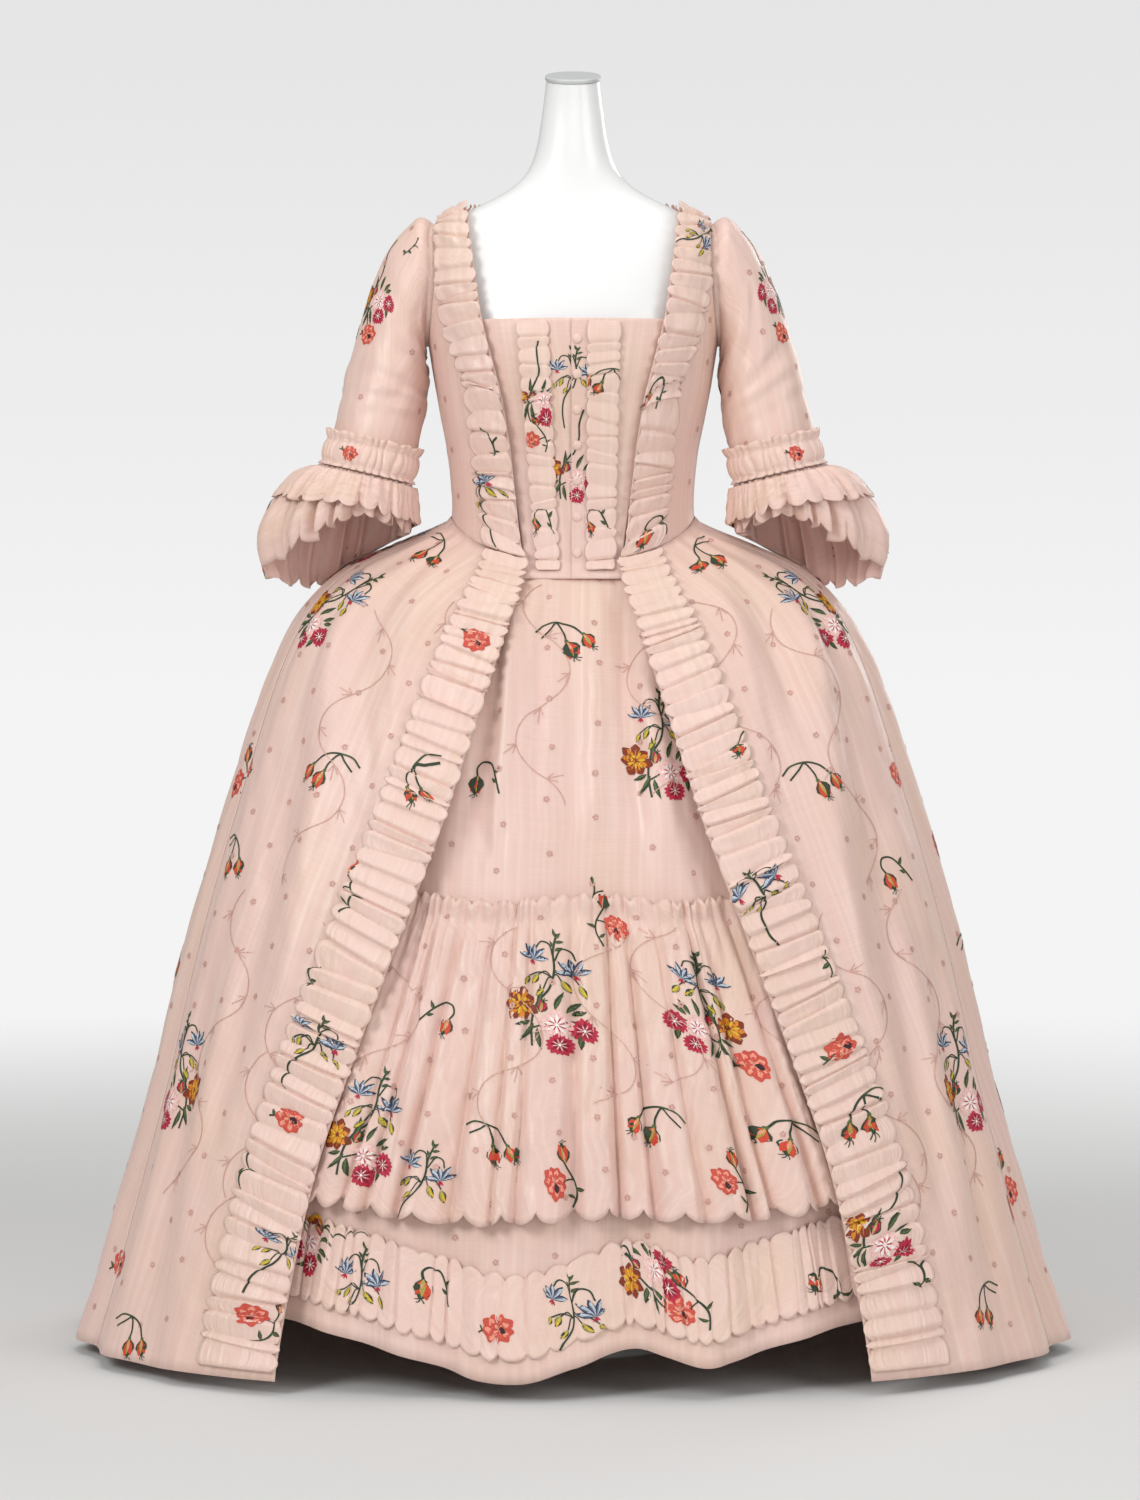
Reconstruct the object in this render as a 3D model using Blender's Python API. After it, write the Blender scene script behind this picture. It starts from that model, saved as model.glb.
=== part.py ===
"""A robe a la francaise, worn by a limbless dress form: an open gown with a sack back, its petticoat
and its buttoned front. Metres, +Z up, the front of the gown towards -Y, the origin on the floor under
the middle of the form's base. Every piece of cloth is a wall round the form, worked out from the
section tables below: a row is a level, and its columns are that level's half width and depths."""

import math

import bpy
import bmesh
import numpy as np
from mathutils import Vector

SILK = 0.0013            # wall of every piece of cloth
SEAM = 0.0011            # from one wall's edge to the next one's at the waist seam
WAIST_Z = 0.934          # waist seam at the sides and back
WAIST_DIP = 0.050        # how much lower it lies at the middle of the front
FLARE = 0.070            # how far below the waist the skirts reach their tables' outline
HEM_Z = 0.014            # hem of the gown at the sides and back
FRONT_HEM_Z = 0.016      # hem of the gown at its front edges
NECK_FRONT_Z = 1.153     # top edge of the buttoned front
POINT_Z = 0.866          # bottom edge of the buttoned front
SHOULDER_Z = 1.2860      # shoulder seam at the neck
NAPE_Z = 1.290           # top edge of the sack back
ARMHOLE_Z, ARMHOLE_HIGH, ARMHOLE_DEEP = 1.197, 0.071, 0.056
ARMHOLE_FIT = 0.0020     # how much smaller all round the sleeve's head is than its armhole
PETTICOAT_TOP_Z = 0.9305
FLOUNCE_TOP_Z, FLOUNCE_HEM_Z = 0.522, 0.190
BAND_HEIGHT, BAND_ABOVE_HEM = 0.085, 0.026
PLATE_RADIUS, PLATE_HEIGHT = 0.130, 0.010
POLE_RADIUS = 0.016
HIP_Z = 0.800            # underside of the form
CAP_TILT = math.radians(14)
ROUNDNESS = 2.25         # power of every level's outline: 2 is an ellipse, and more is squarer

# How far each layer's middle stands off the form.
PETTICOAT_OFF, UNDER_FRONT_OFF, OVER_FRONT_OFF, BODICE_OFF = 0.0037, 0.0070, 0.0093, 0.0132
FRONT_LAP = 0.0062       # how far the buttoned front runs under the gown's edges
TRIM_OFF = 0.0062        # a gathered trim's middle, from the middle of what it is sewn to
SACK_OFF = 0.0250
SACK_LAP = 0.0060        # how far the sack's side edges stand off the skirts they lap over


class Table:
    """Rows with named columns, the first of them the key; at() reads a smooth curve through them."""

    def __init__(self, columns, *rows):
        self.columns = columns.split()
        self.rows = sorted(rows)

    def at(self, key, column):
        n = self.columns.index(column)
        rows = self.rows
        if key <= rows[0][0]:
            return rows[0][n]
        if key >= rows[-1][0]:
            return rows[-1][n]
        i = max(k for k in range(len(rows) - 1) if rows[k][0] <= key)
        low, high = rows[i], rows[i + 1]
        span = high[0] - low[0]
        slopes = []
        for k in (i, i + 1):
            before, after = rows[max(k - 1, 0)], rows[min(k + 1, len(rows) - 1)]
            slopes.append((after[n] - before[n]) / (after[0] - before[0]))
        t = (key - low[0]) / span
        return ((2 * t ** 3 - 3 * t * t + 1) * low[n] + (t ** 3 - 2 * t * t + t) * span * slopes[0]
                + (3 * t * t - 2 * t ** 3) * high[n] + (t ** 3 - t * t) * span * slopes[1])


FORM = Table("height half_width front back shift",
             (0.800, 0.150, 0.110, 0.105, 0.000), (0.860, 0.140, 0.104, 0.098, 0.000),
             (0.936, 0.124, 0.098, 0.084, 0.000), (1.000, 0.127, 0.104, 0.088, 0.000),
             (1.050, 0.1365, 0.112, 0.093, 0.000), (1.100, 0.1455, 0.118, 0.096, 0.000),
             (1.150, 0.153, 0.115, 0.098, 0.000), (1.200, 0.159, 0.099, 0.096, 0.000),
             (1.240, 0.157, 0.080, 0.089, 0.000), (1.261, 0.145, 0.068, 0.082, 0.000),
             (1.276, 0.126, 0.059, 0.075, 0.000), (1.290, 0.098, 0.052, 0.067, 0.000),
             (1.305, 0.071, 0.048, 0.058, 0.000), (1.324, 0.052, 0.045, 0.051, 0.000),
             (1.350, 0.0415, 0.042, 0.046, -0.002), (1.394, 0.034, 0.036, 0.040, -0.008),
             (1.426, 0.030, 0.034, 0.036, -0.013))

# The gown's skirt, over side hoops: wide, and shallow from front to back near the waist.
SKIRT = Table("height half_width front back",
              (0.014, 0.555, 0.414, 0.545), (0.096, 0.530, 0.397, 0.520), (0.206, 0.499, 0.376, 0.484),
              (0.317, 0.469, 0.350, 0.442), (0.428, 0.443, 0.323, 0.396), (0.538, 0.413, 0.292, 0.345),
              (0.620, 0.388, 0.264, 0.306), (0.730, 0.353, 0.218, 0.250), (0.786, 0.331, 0.190, 0.218),
              (0.835, 0.303, 0.162, 0.184), (0.879, 0.257, 0.133, 0.150), (0.901, 0.212, 0.123, 0.131),
              (0.923, 0.163, 0.116, 0.112), (0.936, 0.1385, 0.113, 0.099))

# The petticoat, inside the gown's skirt.
PETTICOAT = Table("height half_width front back",
                  (0.030, 0.518, 0.384, 0.506), (0.120, 0.493, 0.366, 0.482), (0.206, 0.470, 0.348, 0.454),
                  (0.317, 0.441, 0.323, 0.412), (0.428, 0.416, 0.296, 0.368), (0.538, 0.387, 0.265, 0.318),
                  (0.620, 0.362, 0.239, 0.280), (0.730, 0.327, 0.198, 0.226), (0.786, 0.305, 0.173, 0.194),
                  (0.835, 0.279, 0.148, 0.163), (0.879, 0.235, 0.121, 0.132), (0.901, 0.192, 0.111, 0.117),
                  (0.923, 0.147, 0.104, 0.101), (0.934, 0.128, 0.101, 0.088))

# The gown's front edge, and the width of the gathered trim that follows it.
FRONT_EDGE = Table("height out trim",
                   (0.022, 0.316, 0.098), (0.100, 0.303, 0.096), (0.240, 0.272, 0.092), (0.360, 0.231, 0.088),
                   (0.480, 0.186, 0.084), (0.600, 0.141, 0.078), (0.730, 0.099, 0.070), (0.800, 0.076, 0.064),
                   (0.884, 0.051, 0.050), (0.936, 0.055, 0.052), (1.000, 0.066, 0.054), (1.063, 0.078, 0.054),
                   (1.110, 0.090, 0.054), (1.154, 0.101, 0.054), (1.220, 0.111, 0.052), (1.280, 0.119, 0.044))

# The sack back: how far it hangs behind the form, and where its sides are.
SACK = Table("height out side",
             (0.014, 0.600, 0.325), (0.200, 0.527, 0.292), (0.400, 0.438, 0.250), (0.600, 0.345, 0.206),
             (0.800, 0.254, 0.152), (0.860, 0.227, 0.132), (0.900, 0.209, 0.115), (0.934, 0.194, 0.107),
             (1.000, 0.169, 0.108), (1.100, 0.139, 0.116), (1.200, 0.116, 0.121), (1.250, 0.102, 0.118),
             (1.290, 0.086, 0.105))

# One half of the sack back across, from the middle: how far each line of its two box pleats stands out.
PLEATS = (("across", "relief"), (0.00, 0.0), (0.06, 1.0), (0.40, 1.15), (0.74, 1.0), (0.78, 0.45),
          (0.90, 0.25), (1.00, 0.0))

# The sleeve's rings, from the armhole to the elbow: centre, turn of the ring from upright, half sizes.
SLEEVE = Table("along out height turn high deep back",
               (0.10, 0.1722, 1.1945, 5.0, 0.0760, 0.058, 0.000),
               (0.22, 0.1860, 1.1735, 17.0, 0.0690, 0.058, -0.001),
               (0.34, 0.1925, 1.1490, 30.0, 0.0611, 0.057, -0.003),
               (0.50, 0.2030, 1.1100, 52.0, 0.0505, 0.055, -0.007),
               (0.64, 0.2095, 1.0800, 66.0, 0.0485, 0.053, -0.012),
               (0.80, 0.2175, 1.0470, 75.0, 0.0485, 0.051, -0.018),
               (0.90, 0.2235, 1.0190, 77.0, 0.0485, 0.050, -0.023),
               (1.00, 0.2315, 0.9870, 77.0, 0.0480, 0.050, -0.028))

# The sleeve's two flounces by the angle round the arm, in degrees: 0 is the front, 90 the outside.
FLOUNCES = Table("angle upper upper_flare lower lower_flare",
                 (-180, 0.058, 40, 0.122, 10), (-120, 0.045, 24, 0.080, 4), (-90, 0.040, 18, 0.056, 2),
                 (-30, 0.036, 24, 0.046, 8), (0, 0.036, 36, 0.048, 16), (45, 0.046, 54, 0.085, 28),
                 (90, 0.056, 72, 0.134, 46), (135, 0.060, 60, 0.140, 32), (180, 0.058, 40, 0.122, 10))

# The petticoat's folds by the angle round it, in degrees: how far each line stands out at the hem, and
# how high the hem hangs there.
FOLDS = Table("angle rise hem",
              (-92, 0.000, 0.092), (-77, 0.000, 0.091), (-62, 0.000, 0.090),
              (-46, 0.000, 0.087), (-39, 0.003, 0.080),
              (-33, -0.003, 0.073), (-28, 0.005, 0.065), (-23, -0.004, 0.055), (-18, 0.002, 0.044),
              (-13, -0.005, 0.033), (-8.5, 0.008, 0.021), (-4, 0.012, 0.020), (0, 0.002, 0.034),
              (3, -0.008, 0.047), (6, -0.010, 0.053), (9, 0.000, 0.045), (13, 0.010, 0.034),
              (17, 0.002, 0.040), (21, -0.006, 0.049), (26, 0.005, 0.060), (31, -0.003, 0.068),
              (37, 0.003, 0.076), (45, 0.000, 0.086),
              (62, 0.000, 0.090), (77, 0.000, 0.091), (92, 0.000, 0.092))

MATERIALS = {
    "silk": ((0.735, 0.555, 0.480), 0.45, 0.0),
    "enamel": ((0.850, 0.850, 0.840), 0.35, 0.0),
    "steel": ((0.560, 0.560, 0.560), 0.30, 1.0),
}


def sign(value):
    return math.copysign(1.0, value)


def mix(a, b, t):
    return a + (b - a) * t


def spread(count, low=0.0, high=1.0):
    """Evenly spaced values from low to high, both included."""
    return [low + (high - low) * i / (count - 1) for i in range(count)]


def material(kind):
    """The named Principled material, made once."""
    if kind in bpy.data.materials:
        return bpy.data.materials[kind]
    colour, roughness, metallic = MATERIALS[kind]
    made = bpy.data.materials.new(kind)
    made.use_nodes = True
    shader = made.node_tree.nodes["Principled BSDF"]
    shader.inputs["Base Color"].default_value = (*colour, 1.0)
    shader.inputs["Roughness"].default_value = roughness
    shader.inputs["Metallic"].default_value = metallic
    return made


def add(name, builder, kind, smooth_degrees=40):
    """A named object of that bmesh, in that material, shaded smooth below an angle."""
    mesh = bpy.data.meshes.new(name)
    bmesh.ops.recalc_face_normals(builder, faces=builder.faces)
    builder.to_mesh(mesh)
    builder.free()
    mesh.shade_smooth()
    mesh.set_sharp_from_angle(angle=math.radians(smooth_degrees))
    mesh.materials.append(material(kind))
    made = bpy.data.objects.new(name, mesh)
    bpy.context.scene.collection.objects.link(made)
    return made


def grid(rows, around=False):
    """A bmesh of quads through rows of points; around joins each row's end to its start."""
    builder = bmesh.new()
    made = [[builder.verts.new(point) for point in row] for row in rows]
    for upper, lower in zip(made, made[1:]):
        count = len(upper)
        for i in range(count if around else count - 1):
            j = (i + 1) % count
            builder.faces.new((upper[i], lower[i], lower[j], upper[j]))
    return builder


def cloth(name, rows, around=False):
    """A wall of silk whose middle runs through those rows of points."""
    made = add(name, grid(rows, around), "silk")
    wall = made.modifiers.new("wall", "SOLIDIFY")
    wall.thickness = SILK
    wall.offset = 0.0
    wall.use_even_offset = True
    return made


def loft(name, rings, kind):
    """A closed solid through those rings, with a flat face at each end."""
    builder = grid(rings, around=True)
    builder.verts.ensure_lookup_table()
    count = len(rings[0])
    for first in (0, len(builder.verts) - count):
        builder.faces.new([builder.verts[first + k] for k in range(count)])
    return add(name, builder, kind)


def mirrored(rows, side):
    """The rows as they are for side 1, the wearer's left, and their reflection for side -1."""
    return [[Vector((side * p.x, p.y, p.z)) for p in row] for row in rows]


def ring_point(half_width, front, back, angle):
    """A point of a level's outline: 0 degrees is the front, 90 the side and 180 the back."""
    across, ahead = math.sin(angle), math.cos(angle)
    x = half_width * sign(across) * abs(across) ** (2 / ROUNDNESS)
    y = -(front if ahead > 0 else back) * sign(ahead) * abs(ahead) ** (2 / ROUNDNESS)
    return x, y


def on_form(angle, z, off):
    """A point that far off the form."""
    size = [FORM.at(z, column) + off for column in ("half_width", "front", "back")]
    x, y = ring_point(*size, angle)
    return Vector((x, y + FORM.at(z, "shift"), z))


def waist_height(angle):
    """The waist seam, which dips towards the middle of the front."""
    return WAIST_Z - WAIST_DIP * max(0.0, math.cos(angle)) ** 1.5


def flared(table, angle, z, waist_off, off=0.0):
    """A skirt's point: it follows the form down to the waist seam, and flares below it to its table."""
    waist = waist_height(angle)
    if z >= waist:
        return on_form(angle, z, waist_off + off)

    def outline(level):
        size = [table.at(level, column) + off for column in ("half_width", "front", "back")]
        return Vector((*ring_point(*size, angle), level))

    fade = max(0.0, 1 - (waist - z) / FLARE) ** 2
    return outline(z) + (on_form(angle, waist, waist_off + off) - outline(waist)) * fade


def angle_where(surface, x):
    """The angle between the front and the side at which surface(angle) is that far out."""
    low, high = 0.0, math.pi / 2
    for _ in range(24):
        middle = (low + high) / 2
        low, high = (middle, high) if surface(middle).x < x else (low, middle)
    return low


def moved_out(surface, u, v, off):
    """A point of surface(u, v), moved along the surface's own normal, away from the form."""
    step = 1e-3
    across = surface(min(u + step, 1.0), v) - surface(max(u - step, 0.0), v)
    down = surface(u, min(v + step, 1.0)) - surface(u, max(v - step, 0.0))
    normal = across.cross(down).normalized()
    here = surface(u, v)
    return here + normal * off * sign(normal.dot(Vector((here.x, here.y, 0.05))))


# The form, its pole and its plate.

def form():
    heights = [row[0] for row in FORM.rows]
    levels = [z for low, high in zip(heights, heights[1:]) for z in (low, (low + high) / 2)]
    rings = []
    for z in levels + [heights[-1]]:
        tilt = math.tan(CAP_TILT) * max(0.0, (z - 1.35) / (heights[-1] - 1.35))
        ring = [on_form(2 * math.pi * k / 24, z, 0.0) for k in range(24)]
        rings.append([p + Vector((0, 0, tilt * (p.y - FORM.at(z, "shift")))) for p in ring])
    loft("form_torso", rings, "enamel")
    top, shift = heights[-1], FORM.at(heights[-1], "shift")
    cap = []
    for rise, grow in ((0.0004, 0.0), (0.0016, 0.0014), (0.0044, 0.0014), (0.0056, -0.0010)):
        ring = [on_form(2 * math.pi * k / 24, top, grow) for k in range(24)]
        cap.append([p + Vector((0, 0, rise + math.tan(CAP_TILT) * (p.y - shift))) for p in ring])
    loft("form_neck_cap", cap, "steel")


def turned(name, profile, kind, sides=24):
    """A solid turned about the Z axis, from a profile of (radius, height) read upwards."""
    rings = [[Vector((r * math.cos(2 * math.pi * k / sides), r * math.sin(2 * math.pi * k / sides), z))
              for k in range(sides)] for r, z in profile]
    return loft(name, rings, kind)


def stand():
    gap = 0.0003
    turned("form_pole", ((POLE_RADIUS, PLATE_HEIGHT + gap), (POLE_RADIUS, HIP_Z - gap)), "steel", 12)
    turned("form_base", ((PLATE_RADIUS, 0.0), (PLATE_RADIUS, PLATE_HEIGHT - 0.003),
                         (PLATE_RADIUS - 0.004, PLATE_HEIGHT)), "steel", 32)


# The gown's bodice, over the form.

SIDE_SEAM_SHARE = 0.30   # share of the bodice's rows below its armhole
UNDERARM_EDGE_Z = 1.060  # where the row level with the underarm meets the front edge


def armhole(along, face):
    """The bodice's side: the side seam, then the armhole's front (face -1) or back (face 1) half."""
    share = max(0.0, (along - SIDE_SEAM_SHARE) / (1 - SIDE_SEAM_SHARE))
    turn = math.radians(mix(-90, 90, share))
    z = ARMHOLE_Z + ARMHOLE_HIGH * math.sin(turn)
    if along < SIDE_SEAM_SHARE:
        z = mix(WAIST_Z, z, along / SIDE_SEAM_SHARE)
    y = face * ARMHOLE_DEEP * max(0.0, math.cos(turn))
    deep = FORM.at(z, "front" if face < 0 else "back") + BODICE_OFF
    lean = math.asin(min(1.0, abs(y) / deep) ** (ROUNDNESS / 2)) + math.radians(0.3)
    return math.pi / 2 + face * lean, z


def inner_height(along, low, high):
    """How high a row of the bodice is at the edge away from the armhole."""
    if along < SIDE_SEAM_SHARE:
        return mix(low, UNDERARM_EDGE_Z, along / SIDE_SEAM_SHARE)
    return mix(UNDERARM_EDGE_Z, high, ((along - SIDE_SEAM_SHARE) / (1 - SIDE_SEAM_SHARE)) ** 0.7)


def bodice_front(u, v):
    """The bodice's front: u from its front edge to the side seam and armhole, v from shoulder to waist."""
    along = 1 - v
    z_edge = inner_height(along, WAIST_Z - WAIST_DIP * 0.93, SHOULDER_Z)
    end, z_side = armhole(along, -1)
    start = min(end, angle_where(lambda a: on_form(a, z_edge, BODICE_OFF), FRONT_EDGE.at(z_edge, "out")))
    angle = mix(start, end, u)
    z = mix(z_edge, z_side, u ** 0.8)
    droop = max(0.0, 1 - along / SIDE_SEAM_SHARE)
    return on_form(angle, mix(z, waist_height(angle), droop), BODICE_OFF)


def bodice_back(u, v):
    """The bodice's side back: u from the armhole and side seam to just under the sack, v downwards."""
    along = 1 - v
    z_inner = inner_height(along, WAIST_Z, SHOULDER_Z - 0.002)
    start, z_side = armhole(along, 1)
    under = SACK.at(z_inner, "side") - 0.030
    end = math.pi - angle_where(lambda a: on_form(a, z_inner, BODICE_OFF), under)
    return on_form(mix(start, end, u), mix(z_side, z_inner, u), BODICE_OFF)


def bodice(side, name, turns=8):
    alongs = spread(4, 0.0, SIDE_SEAM_SHARE) + spread(turns + 1, SIDE_SEAM_SHARE, 1.0)[1:]
    rows = [[bodice_front(u, 1 - a) for u in spread(7)] for a in reversed(alongs)]
    cloth(f"bodice_front_{name}", mirrored(rows, side))
    rows = [[bodice_back(u, 1 - a) for u in spread(5)] for a in reversed(alongs)]
    cloth(f"bodice_side_back_{name}", mirrored(rows, side))


# The buttoned front, between the gown's edges.

def front_layer(x, z, off):
    """A point that far out, on a layer that far off the form and, below the waist, off the petticoat."""
    def surface(angle):
        return flared(PETTICOAT, angle, z, PETTICOAT_OFF, off - PETTICOAT_OFF)
    point = surface(angle_where(surface, abs(x)))
    return Vector((x, point.y, z))


def buttoned_front(u, v, over):
    """Half of the buttoned front: u from the placket to under the gown's edge, v downwards. Its
    overlapping half is the wearer's left, and x is its distance from the middle on either side."""
    z = mix(NECK_FRONT_Z, POINT_Z, v)
    x = mix(-0.002 if over else -0.018, FRONT_EDGE.at(z, "out") + FRONT_LAP, u)
    return front_layer(x, z, OVER_FRONT_OFF if over else UNDER_FRONT_OFF)


def fronts():
    vs = [(NECK_FRONT_Z - z) / (NECK_FRONT_Z - POINT_Z)
          for z in (NECK_FRONT_Z, 1.112, 1.070, 1.025, 0.975, 0.930, 0.904, 0.886, POINT_Z)]
    cloth("buttoned_front_over", [[buttoned_front(u, v, True) for u in spread(5)] for v in vs])
    rows = [[buttoned_front(u, v, False) for u in spread(6)] for v in vs]
    cloth("buttoned_front_under", mirrored(rows, -1))


def button_places(count=7):
    """Each button's middle on the over front: (u, v)."""
    for z in spread(count, 1.130, 0.894):
        v = (NECK_FRONT_Z - z) / (NECK_FRONT_Z - POINT_Z)
        yield (0.0045 + 0.002) / (FRONT_EDGE.at(z, "out") + FRONT_LAP + 0.002), v


def buttons(radius=0.0055, height=0.0026, sides=8):
    """Cloth-covered buttons down the placket, each standing on the over front."""
    def surface(u, v):
        return buttoned_front(u, v, True)
    for number, (u, v) in enumerate(button_places(), 1):
        centre = moved_out(surface, u, v, SILK / 2 + 0.0008)
        turn = (moved_out(surface, u, v, 0.01) - centre).to_track_quat("Z", "Y")
        rings = []
        for rise, size in ((0.0, 0.90), (0.45, 1.0), (1.0, 0.60)):
            rings.append([centre + turn @ Vector((size * radius * math.cos(2 * math.pi * n / sides),
                                                  size * radius * math.sin(2 * math.pi * n / sides),
                                                  rise * height)) for n in range(sides)])
        loft(f"button_{number}", rings, "silk")


# The gown's skirt.

def gown_skirt(angle, z, off=0.0):
    """The gown's skirt, with the side pleats' soft folds: shallow at the waist, deeper further down."""
    reach = math.exp(-((math.degrees(angle) - 96) / 30) ** 2)
    drop = max(0.0, (WAIST_Z - z) / WAIST_Z)
    return flared(SKIRT, angle, z, BODICE_OFF, off + 0.012 * reach * drop ** 0.7 * math.cos(angle * 22))


def edge_line(z):
    return angle_where(lambda angle: gown_skirt(angle, z), FRONT_EDGE.at(z, "out"))


def side_line(z):
    return math.radians(74)


def side_line_after(z):
    return math.radians(74) + SEAM * 1.6 / SKIRT.at(z, "half_width")


def sack_line(z):
    return math.pi - angle_where(lambda angle: gown_skirt(math.pi - angle, z), SACK.at(z, "side") - 0.012)


def robe_skirt(start, end, u, v):
    """The gown's skirt between two lines of angle(z): v runs from the waist seam to the hem."""
    angle = mix(start(WAIST_Z - WAIST_DIP), end(WAIST_Z), u) if v == 0 else None
    for _ in range(3):
        level = WAIST_Z if angle is None else mix(waist_height(angle) - SEAM, hem_height(angle), v)
        angle = mix(start(level), end(level), u)
    return gown_skirt(angle, mix(waist_height(angle) - SEAM, hem_height(angle), v))


def hem_height(angle):
    """The gown's hem, a little higher at its front edges."""
    return HEM_Z + (FRONT_HEM_Z - HEM_Z) * max(0.0, math.cos(angle))


def skirt_front(u, v):
    return robe_skirt(edge_line, side_line, u, v)


def skirt_side(u, v):
    return robe_skirt(side_line_after, sack_line, u, v)


SKIRT_ROWS = (0.0, 0.02, 0.05, 0.095, 0.17, 0.29, 0.47, 0.70, 1.0)


def skirts(side, name):
    rows = [[skirt_front(u, v) for u in spread(9)] for v in SKIRT_ROWS]
    cloth(f"skirt_front_{name}", mirrored(rows, side))
    rows = [[skirt_side(u, v) for u in spread(10)] for v in SKIRT_ROWS]
    cloth(f"skirt_side_{name}", mirrored(rows, side))


def sack_point(across, relief, z):
    """The sack back: across from -1 to 1 between its sides, relief in pleats."""
    side, out = SACK.at(z, "side"), SACK.at(z, "out")
    if z > WAIST_Z:
        wide, deep = FORM.at(z, "half_width") + SACK_OFF, FORM.at(z, "back") + SACK_OFF
    else:
        wide, deep = SKIRT.at(z, "half_width") + SACK_LAP, SKIRT.at(z, "back") + SACK_LAP
    edge = deep * max(0.0, 1 - min(side / wide, 1.0) ** ROUNDNESS) ** (1 / ROUNDNESS)
    depth = 0.009 + 0.020 * (NAPE_Z - z) / NAPE_Z
    return Vector((side * across, edge + (out - edge) * (1 - abs(across) ** 2.4) + depth * relief, z))


def sack_back():
    half = PLEATS[1:]
    across = [(-a, r) for a, r in reversed(half[1:])] + list(half)
    levels = (NAPE_Z, 1.272, 1.248, 1.210, 1.140, 1.045, 0.960, 0.895, 0.820, 0.700, 0.500, 0.250, HEM_Z)
    cloth("sack_back", [[sack_point(a, r, z) for a, r in across] for z in levels])


# The petticoat, its flounce and its band.

def petticoat(angle, z, off=0.0):
    """The petticoat. Its folds are straight between the lines of their table."""
    rise = fold_column(angle, 1)
    drop = max(0.0, (WAIST_Z - z) / WAIST_Z)
    return flared(PETTICOAT, angle, z, PETTICOAT_OFF, rise * drop + off)


def fold_column(angle, column):
    """A column of the folds' table at that angle, straight between its rows."""
    return float(np.interp(math.degrees(angle), [row[0] for row in FOLDS.rows],
                           [row[column] for row in FOLDS.rows]))


PETTICOAT_ROWS = (0.0, 0.02, 0.05, 0.095, 0.17, 0.30, 0.52, 0.76, 1.0)


def petticoat_panels():
    """The petticoat's front and back: a row above the waist seam's dip, then rows from it to the hem."""
    def rows(degrees, hems, shares):
        angles = [math.radians(a) for a in degrees]
        waists = [min(waist_height(a), PETTICOAT_TOP_Z - 0.002) for a in angles]
        made = [[petticoat(a, PETTICOAT_TOP_Z) for a in angles]]
        return made + [[petticoat(a, mix(w, h, v)) for a, w, h in zip(angles, waists, hems)] for v in shares]

    degrees, _, hems = zip(*FOLDS.rows)
    cloth("petticoat_front", rows(degrees, hems, PETTICOAT_ROWS))
    limit = FOLDS.rows[-1][0] + 0.4
    cloth("petticoat_back", rows(spread(11, limit, 360 - limit), [0.092] * 11, PETTICOAT_ROWS[::2]))


def petticoat_flounce(folds=16):
    """The deep flounce: gathered under its scalloped heading, and falling in tubes to its hem. It
    lies flatter where the gown's edges cover it."""
    rows = []
    for v, lift, wave in ((0.0, 0.0080, 0.0030), (0.11, 0.0055, 0.0022), (0.55, 0.0110, 0.0052),
                          (1.0, 0.0140, 0.0066)):
        reach = math.radians(mix(27.5, 38, v))
        row = []
        for k in range(2 * folds + 1):
            angle = mix(-reach, reach, k / (2 * folds))
            crest = 1.0 if k % 2 else -1.0
            free = min(1.0, max(0.0, (reach - abs(angle)) / math.radians(7)))
            z = mix(FLOUNCE_TOP_Z, FLOUNCE_HEM_Z, v) + 0.014 * v * (angle / reach) ** 2
            z += (0.006 if v == 0.0 else -0.006 if v == 1.0 else 0.0) * crest
            row.append(petticoat(angle, z, mix(0.0050, lift, free) + wave * crest * mix(0.3, 1.0, free)))
        rows.append(row)
    cloth("petticoat_flounce", rows)


def hem_band(pleats=18):
    """The flat pleated band over the petticoat's hem, scalloped along both edges."""
    reach = math.radians(40)
    rows = []
    for v in (0.0, 1.0):
        row = []
        for k in range(2 * pleats + 1):
            angle = mix(-reach, reach, k / (2 * pleats))
            crest = 1.0 if k % 2 else -1.0
            low = fold_column(angle, 2) + BAND_ABOVE_HEM
            z = low + BAND_HEIGHT * (1 - v) + 0.003 * crest * (1 - 2 * v)
            row.append(petticoat(angle, z, 0.0056 + 0.0012 * crest))
        rows.append(row)
    cloth("petticoat_band", rows)


# The gathered trims along the gown's edges.

def row_width(surface, v):
    """The length of a surface's row."""
    points = [surface(u, v) for u in spread(13)]
    return sum((b - a).length for a, b in zip(points, points[1:]))


def trim(name, surface, vs, side, slope=0.0):
    """A gathered trim along a surface's edge u = 0, as wide as FRONT_EDGE's table there. It stands in
    ridges across, every second v being a crest, and both its edges are scalloped."""
    rows = []
    for k, v in enumerate(vs):
        crest = k % 2
        share = min(0.93, FRONT_EDGE.at(surface(0.0, v).z, "trim") / row_width(surface, v))
        fade = min(1.0, 6 * k / len(vs), 6 * (len(vs) - 1 - k) / len(vs))
        row = []
        for across in (0.0, 1.0):
            u = share * mix(0.0 if crest else 0.03, 1.0 if crest else 0.97, across)
            leaning = v - slope * across * fade
            row.append(moved_out(surface, u, leaning, TRIM_OFF + 0.0018 * crest))
        rows.append(row)
    cloth(name, mirrored(rows, side))


def trims(side, name):
    trim(f"bodice_trim_{name}", bodice_front, spread(27, 0.006, 0.985), side)
    trim(f"skirt_trim_{name}", skirt_front, [mix(0.010, 0.992, t ** 1.15) for t in spread(47)], side, 0.030)


# The narrow trims' edges from the middle of the front, at the top and at the bottom.
NARROW = {"left": (True, 1, (0.0165, 0.0520), (0.0145, 0.0455)),
          "right": (False, -1, (0.0277, 0.0620), (0.0150, 0.0400))}


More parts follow.
